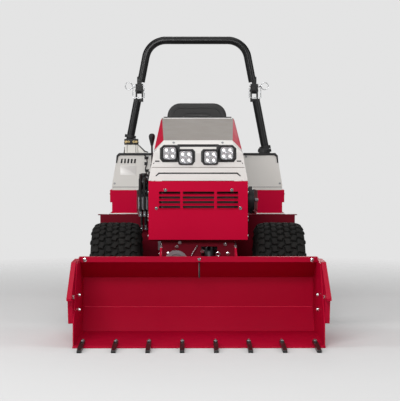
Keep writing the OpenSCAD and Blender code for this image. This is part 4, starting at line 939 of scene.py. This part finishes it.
def sewn(name, pad, routes, toward, radius=2.6):
    """Piping laid on a pad along routes, found by looking at it along a direction."""
    tree = BVHTree.FromObject(pad, bpy.context.evaluated_depsgraph_get())
    bm = bmesh.new()
    toward = Vector(toward).normalized()
    for route, closed in routes:
        line = []
        for p in route:
            hit = tree.ray_cast(Vector(p) * MM - toward * 0.3, toward)[0]
            if hit is not None:
                line.append((hit + toward * radius * 0.45 * MM) / MM)
        add_tube(bm, line, radius, 10, closed)
    return from_bmesh(name, bm, "vinyl", node_body[pad_node[pad.name]], SEAM_PIPING_AND_SHADE, angle=60)


def arch(half, low, top, radius, steps=10):
    """An upside-down U as (x, z) points, from the left foot over to the right one."""
    out = [(-half, low + (top - radius - low) * k / 24) for k in range(25)]
    out += [(-half + radius - radius * math.cos(math.pi / 2 * k / steps),
             top - radius + radius * math.sin(math.pi / 2 * k / steps)) for k in range(1, steps + 1)]
    out += [(-(half - radius) + 2 * (half - radius) * k / 16, top) for k in range(1, 16)]
    out += [(-x, z) for x, z in reversed(out[:25 + steps])]
    return out


# piping darker than the vinyl: real seams, and a painted shade line along the seat back's inner arch
SEAM_PIPING_AND_SHADE = moulding("seat_piping_and_shade", (0.018, 0.018, 0.019), 0.42, grain=0.1, grain_scale=2400, dust=0.04)
pad_node = {"seat_base_pad": "seat_cushion", "seat_back_pad": "seat_back"}

bm = bmesh.new()
outline = [(-211, 739), (211, 739), (214, 760), (211, 800), (196, 822), (150, 830), (80, 822), (0, 818), (-80, 822),
           (-150, 830), (-196, 822), (-211, 800), (-214, 760)]
add_plate(bm, outline, lambda u, v, w: (u, 664 + 336 * w, v))
add_rod(bm, (-200, 664, 782), (1, 0, 0), 34, 400, 32)
base_pad = stuffed("seat_base_pad", bm, "seat", 22, (-224, 641, 736.5), (224, 1019, 845), lambda p: p.z < 744)
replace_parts(base_pad, "seat_cushion")
loop = [(x, y + 832, 0) for x, y in round_rect(376, 300, 40, 10)]
dense = []
for a, b in zip(loop, loop[1:] + loop[:1]):
    steps = max(1, int((Vector(b) - Vector(a)).length / 9))
    dense += [tuple(Vector(a).lerp(Vector(b), k / steps) + Vector((0, 0, 900))) for k in range(steps)]
across = [([(-168 + 336 * k / 40, y, 900) for k in range(41)], False) for y in (770, 830, 890)]
sewn("seat_base_piping", base_pad, [(dense, True)], (0, 0, -1), 3.4)
sewn("seat_base_stitching", base_pad, across, (0, 0, -1), 1.7)

bm = bmesh.new()
head = arch(198, 890, 1283, 88)
add_plate(bm, head, lambda u, v, w: (u, 1056 + 42 * w, v))
back_pad = stuffed("seat_back_pad", bm, "seat_back", 22, (-200, 1042.5, 887.5), (200, 1111.5, 1284),
                   lambda p: p.y > 1094 and 930 < p.z < 1200 and abs(p.x) < 120)
sewn("seat_back_piping", back_pad, [([(x, 1000, z) for x, z in arch(164, 912, 1250, 66)], False)], (0, 1, 0), 3.4)
# the inner arch is drawn dark, a painted shade line along the back's bolster edge
sewn("seat_back_stitching", back_pad, [([(x, 1000, z) for x, z in arch(100, 915, 1216, 44)], False)]
     + [([(-88 + 176 * k / 30, 1000, z) for k in range(31)], False) for z in (980, 1050, 1120)], (0, 1, 0), 3.6)

bm = bmesh.new()
for s in (-1, 1):
    add_plate(bm, [(1061, 862), (1063, 851), (1075, 848.5), (1087, 851), (1089, 862), (1089, 922), (1061, 922)],
              lambda u, v, w: (s * (170.5 + 17 * w), u, v))
    add_rod(bm, (s * 171, 1075, 862), (s, 0, 0), 7.9, 33, 28)
arms = rounded(from_bmesh("seat_back_arms", bm, "black_plastic", "seat_back"), 1.0)
for piece in (arms, back_pad):
    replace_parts(piece, "seat_back")


# ---- Engine, cooling and hydraulics ----

for node, slot, bevel in (("engine_block", "cast_metal", 3.0), ("air_cleaner", "black_plastic", 2.0),
                          ("muffler", "steel", 2.0), ("hydrostatic_pump", "cast_metal", 2.5),
                          ("hydraulic_valve", "steel", 1.2), ("dash_panel", "black_plastic", 2.0),
                          ("steering_column", "black_plastic", 1.2), ("steering_cylinder", "steel", 1.0),
                          ("parking_brake", "black_plastic", 1.0),
                          ("cooling_fan", "black_plastic", 0.8), ("pivot_yoke", "cast_metal", 2.0),
                          ("front_axle", "cast_metal", 2.2), ("rear_axle", "cast_metal", 2.2),
                          ("rops_posts", "black_paint", 1.6), ("rops_hoop", "black_paint", 1.6),
                          ("drawbar", "black_paint", 1.4), ("seat_pan", "black_plastic", 1.5),
                          ("lift_cylinder", "steel", 0.9), ("tilt_cylinder", "steel", 0.9)):
    refined(node, slot, bevel)

bm = bmesh.new()
add_rod(bm, (-281, 202, 876), (1, 0, 0), 14, 18, 32)
add_tube(bm, [(-272, 202, 876), (-272, 172, 941), (-272, 145, 1000)], 5.5, 16)
add_lathe(bm, [(6.2, 0), (9, 8), (13, 26), (17.5, 44), (19, 56), (16.5, 66), (10, 72), (0.5, 74)], (-272, 145, 998),
          (0, 0, 1), 32)
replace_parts(from_bmesh("drive_lever_grip", bm, "black_plastic", "drive_lever", angle=45), "drive_lever")

bm = bmesh.new()
for s in (-1, 1):
    add_box(bm, (min(s * 200.5, s * 262), -392, 482), (max(s * 200.5, s * 262), -386, 798))
from_bmesh("radiator_seals", bm, "black_rubber", "front_frame")

bm = bmesh.new()
for k in range(20):
    add_box(bm, (-108, -264 + k * 12.4, 697), (108, -261.5 + k * 12.4, 758))
for k in range(9):
    add_box(bm, (-132.5, -272 + k * 30, 560), (-130, -262 + k * 30, 672))
from_bmesh("engine_fins", bm, "cast_metal", "front_frame")
bm = bmesh.new()
for y in (-250, -150, -50):
    for x in (-85, 85):
        add_bolt(bm, (x, y, 765), (0, 0, 1), 11, 6)
for y in (-262, -28):
    for z in (545, 660):
        add_bolt(bm, (130, y, z), (1, 0, 0), 12, 6)
add_lathe(bm, [(11, 0), (11, 3), (7, 4), (7, 10), (10, 11), (10, 15), (2, 17)], (328, -200, 690), (1, 0, 0), 24)
add_tube(bm, smooth_line([(112, -60, 700), (124, -58, 720), (127, -56, 760), (127, -56, 792)], 6), 3.4, 12)
for x in (-92, 92):
    add_lathe(bm, [(55.2, 0), (56.6, 1.2), (56.6, 7), (55.2, 8.2)], (x - 4, -140, 855), (1, 0, 0), 64)
from_bmesh("engine_fittings", bm, "steel", "front_frame")
bm = bmesh.new()
for i in range(3):
    y = -220 + 75 * i
    add_lathe(bm, [(9, 0), (9, 8), (7, 10), (7, 16), (3, 18)], (0, y, 780), (0, 0, 1), 16)
    add_tube(bm, smooth_line([(0, y, 790), (-6, y, 801), (-40, y + 6, 803), (-92, y + 14, 784), (-114, y + 18, 740),
                              (-118, y + 20, 700)], 7), 3.2, 10)
for route in ([(166, -352, 786), (166, -318, 790), (158, -286, 780), (134, -262, 752), (106, -250, 728)],
              [(-166, -352, 540), (-166, -316, 536), (-160, -290, 540), (-142, -264, 556), (-128, -250, 566)]):
    add_tube(bm, smooth_line(route, 8), 15, 18)
from_bmesh("engine_hoses", bm, "black_rubber", "front_frame", angle=50)
bm = bmesh.new()
add_lathe(bm, [(12, 0), (12, 6), (35, 8), (37, 12), (37, 40), (34, 47), (22, 50), (0.5, 50)], (130, -110, 566),
          (1, 0, 0), 40)
for k in range(16):
    a = 2 * math.pi * k / 16
    add_rod(bm, (164, -110 + 36.6 * math.sin(a), 566 + 36.6 * math.cos(a)), (1, 0, 0), 1.6, 12, 8)
from_bmesh("oil_filter", bm, "black_paint", "front_frame")

hoses, ends = bmesh.new(), bmesh.new()
for i in range(3):
    for y, over, drop in ((82, 30 + 30 * i, 500), (28, 80 - 26 * i, 590)):
        x, y0, out = -308 - 24 + 24 * i, -60 + y, 1 if y > 55 else -1
        top = 716 + over
        line = [(x, y0, 716 + over * k / 4) for k in range(4)]
        line += [(x, y0 + out * 34 * (1 - math.cos(math.pi * k / 16)), top + 34 * math.sin(math.pi * k / 16))
                 for k in range(17)]
        line += [(x, y0 + out * 68, top + (drop - top) * k / 8) for k in range(1, 9)]
        add_tube(hoses, line, 7, 18)
        add_lathe(ends, [(8.9, 0), (8.9, 5), (7.4, 6), (7.4, 8), (9.4, 9), (9.4, 13), (9.0, 13.6), (9.4, 14.2),
                         (9.4, 25), (7.2, 26)], (x, y0, 716), (0, 0, 1), 20)
        add_lathe(ends, [(10.5, 0), (10.5, 10), (8, 11), (9.4, 12), (9.4, 28), (7.2, 29)], (x, y0 + out * 68, drop),
                  (0, 0, 1), 6)
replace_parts(from_bmesh("hydraulic_hose_lines", hoses, "black_rubber", "front_frame", angle=60), "hydraulic_hoses")
for x, z in ((-327, 781), (-306, 762), (-333, 757), (-300, 806)):
    add_bolt(ends, (x, 106.5, z), (0, -1, 0), 11, 5)
from_bmesh("hose_crimps", ends, "chrome_rod", "front_frame")
bm = bmesh.new()
add_plate(bm, [(-350, 645), (-288, 645), (-284, 700), (-286, 812), (-300, 836), (-334, 836), (-350, 800)],
          lambda u, v, w: (u, 107 + 5 * w, v))
for x, z in ((-338, 812), (-318, 826), (-300, 790), (-342, 720)):
    add_box(bm, (x - 9, 94, z - 7), (x + 9, 107, z + 7))
rounded(from_bmesh("valve_bracket", bm, "black_plastic", "front_frame"), 1.2)
bm = bmesh.new()
for x in (-332, -308, -284):
    add_lathe(bm, [(3.2, 0), (3.2, 18), (8, 21), (9.5, 28), (8, 35), (2, 38)], (x, -5, 742), (0, -0.12, 1), 18)
from_bmesh("valve_knobs", bm, "black_plastic", "front_frame")


# ---- Front fittings below the grille ----

bm = bmesh.new()
for x, z, size in ((-102, 462, 11), (-118, 440, 11), (24, 414, 12), (-208, 398, 11), (150, 452, 11)):
    add_bolt(bm, (x, -418, z), (0, -1, 0), size, 6)
add_tube(bm, [(110 + 11 * math.cos(2 * math.pi * k / 28), -421, 398 + 11 * math.sin(2 * math.pi * k / 28))
              for k in range(28)], 2.6, 10, closed=True)
add_rod(bm, (-38, -421, 388), (35, 0, 60), 3.2, 69, 14)
from_bmesh("front_fittings", bm, "chrome_rod", "front_frame")


# ---- Dash ----

bezel, face, hand = bmesh.new(), bmesh.new(), bmesh.new()
for x in (-60, 60):
    lean = Vector((0, 0.766, 0.643))
    top = Vector((x, 239, 1131)) + lean * 8
    add_lathe(bezel, [(26.5, -6), (28, -4), (28, 2), (26, 3.4), (23.6, 3.4), (23, 1.2), (23, 0.2)], top, lean, 48)
    add_lathe(face, [(23, 0), (23, 0.8), (0.3, 0.8)], top, lean, 48)
    across, up = Vector((1, 0, 0)), lean.cross(Vector((1, 0, 0)))
    for k in range(9):
        a = math.radians(-30 + 30 * k)
        out = across * math.cos(a) + up * math.sin(a)
        add_rod(hand, top + lean * 1.0 + out * 17, out, 0.7, 4.5, 6)
    a = math.radians(70 if x < 0 else 120)
    add_rod(hand, top + lean * 1.6, across * math.cos(a) + up * math.sin(a), 0.9, 17, 6)
    add_lathe(hand, [(3.2, 0), (3.2, 2), (0.4, 2.8)], top + lean * 0.6, lean, 16)
from_bmesh("gauge_bezels", bezel, "chrome_rod", "front_frame")
from_bmesh("gauge_faces", face, "white_skin", "front_frame")
from_bmesh("gauge_hands", hand, "black_plastic", "front_frame")
bm = bmesh.new()
for x in (-150, -120, 120, 150):
    add_box(bm, (x - 9, 265, 1000), (x + 9, 268.5, 1034))
    add_plate(bm, [(-7, -14), (7, -14), (7, 14), (-7, 14)],
              lambda u, v, w: (x + u, 268 + (4.5 if v > 0 else 1.5) * w, 1017 + v))
rounded(from_bmesh("dash_switches", bm, "black_plastic", "front_frame"), 0.6)
bm = bmesh.new()
add_lathe(bm, [(13, 0), (13, 3), (9, 5), (9, 6)], (95, 266, 1060), (0, 1, 0), 28)
add_box(bm, (93.6, 271, 1052), (96.4, 292, 1068))
from_bmesh("ignition_key", bm, "steel", "front_frame")


# ---- Roll bar foot, tower gusset and rear details ----

bm = bmesh.new()
add_plate(bm, [(-399, 1006), (-399, 952), (-330, 952), (-352, 958)], lambda u, v, w: (u, 1182 + 64 * w, v))
rounded(from_bmesh("tower_gusset", bm, "grey_skin", "rear_frame"), 1.5)
bm = bmesh.new()
add_plate(bm, [(-400, 1013), (-400, 1006), (-352, 957), (-330, 952), (-330, 958), (-349, 964)],
          lambda u, v, w: (u, 1180 + 68 * w, v))
for x0, x1 in ((-489, -486), (-400, -397)):
    add_box(bm, (x0, 1176, 1006), (x1, 1252, 1045))
for y0, y1 in ((1175, 1178), (1250, 1253)):
    add_box(bm, (-489, y0, 1006), (-397, y1, 1045))
rounded(from_bmesh("tower_band", bm, "black_plastic", "rear_frame"), 0.8)
bm = bmesh.new()
add_tube(bm, smooth_line([(-334, 634, 938), (-322, 633, 925), (-318, 633, 890), (-328, 633, 850), (-316, 633, 800),
                          (-322, 633, 752)], 6), 3.6, 10)
for x, z, w, h in ((-322, 922, 12, 8), (-326, 886, 9, 10), (-318, 842, 10, 8), (-324, 790, 9, 9)):
    add_box(bm, (x - w, 631, z - h), (x + w, 639.5, z + h))
rounded(from_bmesh("console_cable", bm, "black_plastic", "rear_frame"), 1.0)
bm = bmesh.new()
for x in (-478, -460, -426, -408):
    add_bolt(bm, (x, 1175, 1026), (0, -1, 0), 10, 5)
    add_bolt(bm, (x, 1253, 1026), (0, 1, 0), 10, 5)
from_bmesh("tower_bolts", bm, "steel", "rear_frame", BRASS)
bm = bmesh.new()
for s in (-1, 1):
    add_lathe(bm, [(24, 0), (24, 3), (21, 5), (0.5, 6.5)], (s * 470, 1250, 800), (0, 1, 0), 40)
from_bmesh("rear_reflectors", bm, "red_paint", "rear_frame")
bm = bmesh.new()
for s in (-1, 1):
    add_lathe(bm, [(27, 0), (27, 2.4), (24.4, 2.6)], (s * 470, 1250, 800), (0, 1, 0), 40)
    for z in (620, 690):
        add_bolt(bm, (s * 150, 1330, z), (0, 1, 0), 15, 7)
from_bmesh("rear_fittings", bm, "chrome_rod", "rear_frame")


# ---- Light, floor and camera ----

def softbox(name, place, target, size, power):
    data = bpy.data.lights.new(name, "AREA")
    data.shape, data.size, data.size_y, data.energy = "RECTANGLE", size[0], size[1], power
    lamp = bpy.data.objects.new(name, data)
    bpy.context.scene.collection.objects.link(lamp)
    lamp.location = place
    lamp.rotation_euler = (Vector(target) - Vector(place)).to_track_quat("-Z", "Y").to_euler()


def studio_floor():
    """A pale floor that fades into the backdrop a few metres away."""
    bm = bmesh.new()
    rings = [[bm.verts.new((r * math.cos(a), r * math.sin(a) + 0.2, 0.0)) for a in
              (2 * math.pi * i / 96 for i in range(96))] for r in (0.5, 2, 4, 7, 11)]
    bridge(bm, rings, ends=False)
    bm.faces.new(rings[0])
    mesh = bpy.data.meshes.new("floor")
    bm.to_mesh(mesh)
    bm.free()
    floor = bpy.data.objects.new("floor", mesh)
    bpy.context.scene.collection.objects.link(floor)
    s = Shader("studio_floor")
    away = s.add("ShaderNodeVectorMath", {0: s.at}, operation="LENGTH").outputs["Value"]
    s.set(Base_Color=s.mix(s.noise(1.2, 3), (0.70, 0.70, 0.70), (0.73, 0.73, 0.73)),
          Alpha=s.span(away, 1.7, 4.2, 1.0, 0.0),
          Roughness=s.span(s.noise(30, 3), 0.3, 0.7, 0.85, 0.95))
    mesh.materials.append(s.mat)


studio_floor()
scene = bpy.context.scene
scene.view_settings.view_transform = "Standard"
world = bpy.data.worlds.new("studio")
world.use_nodes = True
tree = world.node_tree
seen, level = tree.nodes.new("ShaderNodeLightPath"), tree.nodes.new("ShaderNodeMapRange")
glossy = tree.nodes.new("ShaderNodeMapRange")
glossy.inputs["To Min"].default_value, glossy.inputs["To Max"].default_value = 0.30, 0.14
tree.links.new(seen.outputs["Is Glossy Ray"], glossy.inputs["Value"])
tree.links.new(glossy.outputs[0], level.inputs["To Min"])
level.inputs["To Max"].default_value = 0.775
tree.links.new(seen.outputs["Is Camera Ray"], level.inputs["Value"])
tree.links.new(level.outputs[0], tree.nodes["Background"].inputs["Strength"])
tree.nodes["Background"].inputs["Color"].default_value = (1.0, 1.0, 1.0, 1)
scene.world = world
softbox("front_box", (-1.0, -5.5, 3.0), (0, -0.4, 0.6), (3.0, 1.6), 160)
softbox("right_box", (4.5, -2.0, 2.8), (0, 0, 0.7), (2.0, 2.5), 55)
softbox("left_box", (-4.5, -1.5, 2.8), (0, 0, 0.7), (2.0, 2.5), 75)
softbox("top_box", (0, 0.3, 4.6), (0, 0.2, 0.5), (3.5, 3.5), 45)
softbox("back_box", (0.5, 5.5, 2.8), (0, 0.4, 0.8), (2.5, 2.0), 50)

camera_data = bpy.data.cameras.new("camera")
camera_data.lens, camera_data.sensor_width, camera_data.sensor_fit = 117.8, 36.0, "HORIZONTAL"
camera_data.clip_end = 100.0
camera = bpy.data.objects.new("camera", camera_data)
scene.collection.objects.link(camera)
camera.location = (-0.0395, -7.66, 0.997)
camera.rotation_euler = (math.radians(90 - 2.384), 0.0, -0.0069)
scene.camera = camera
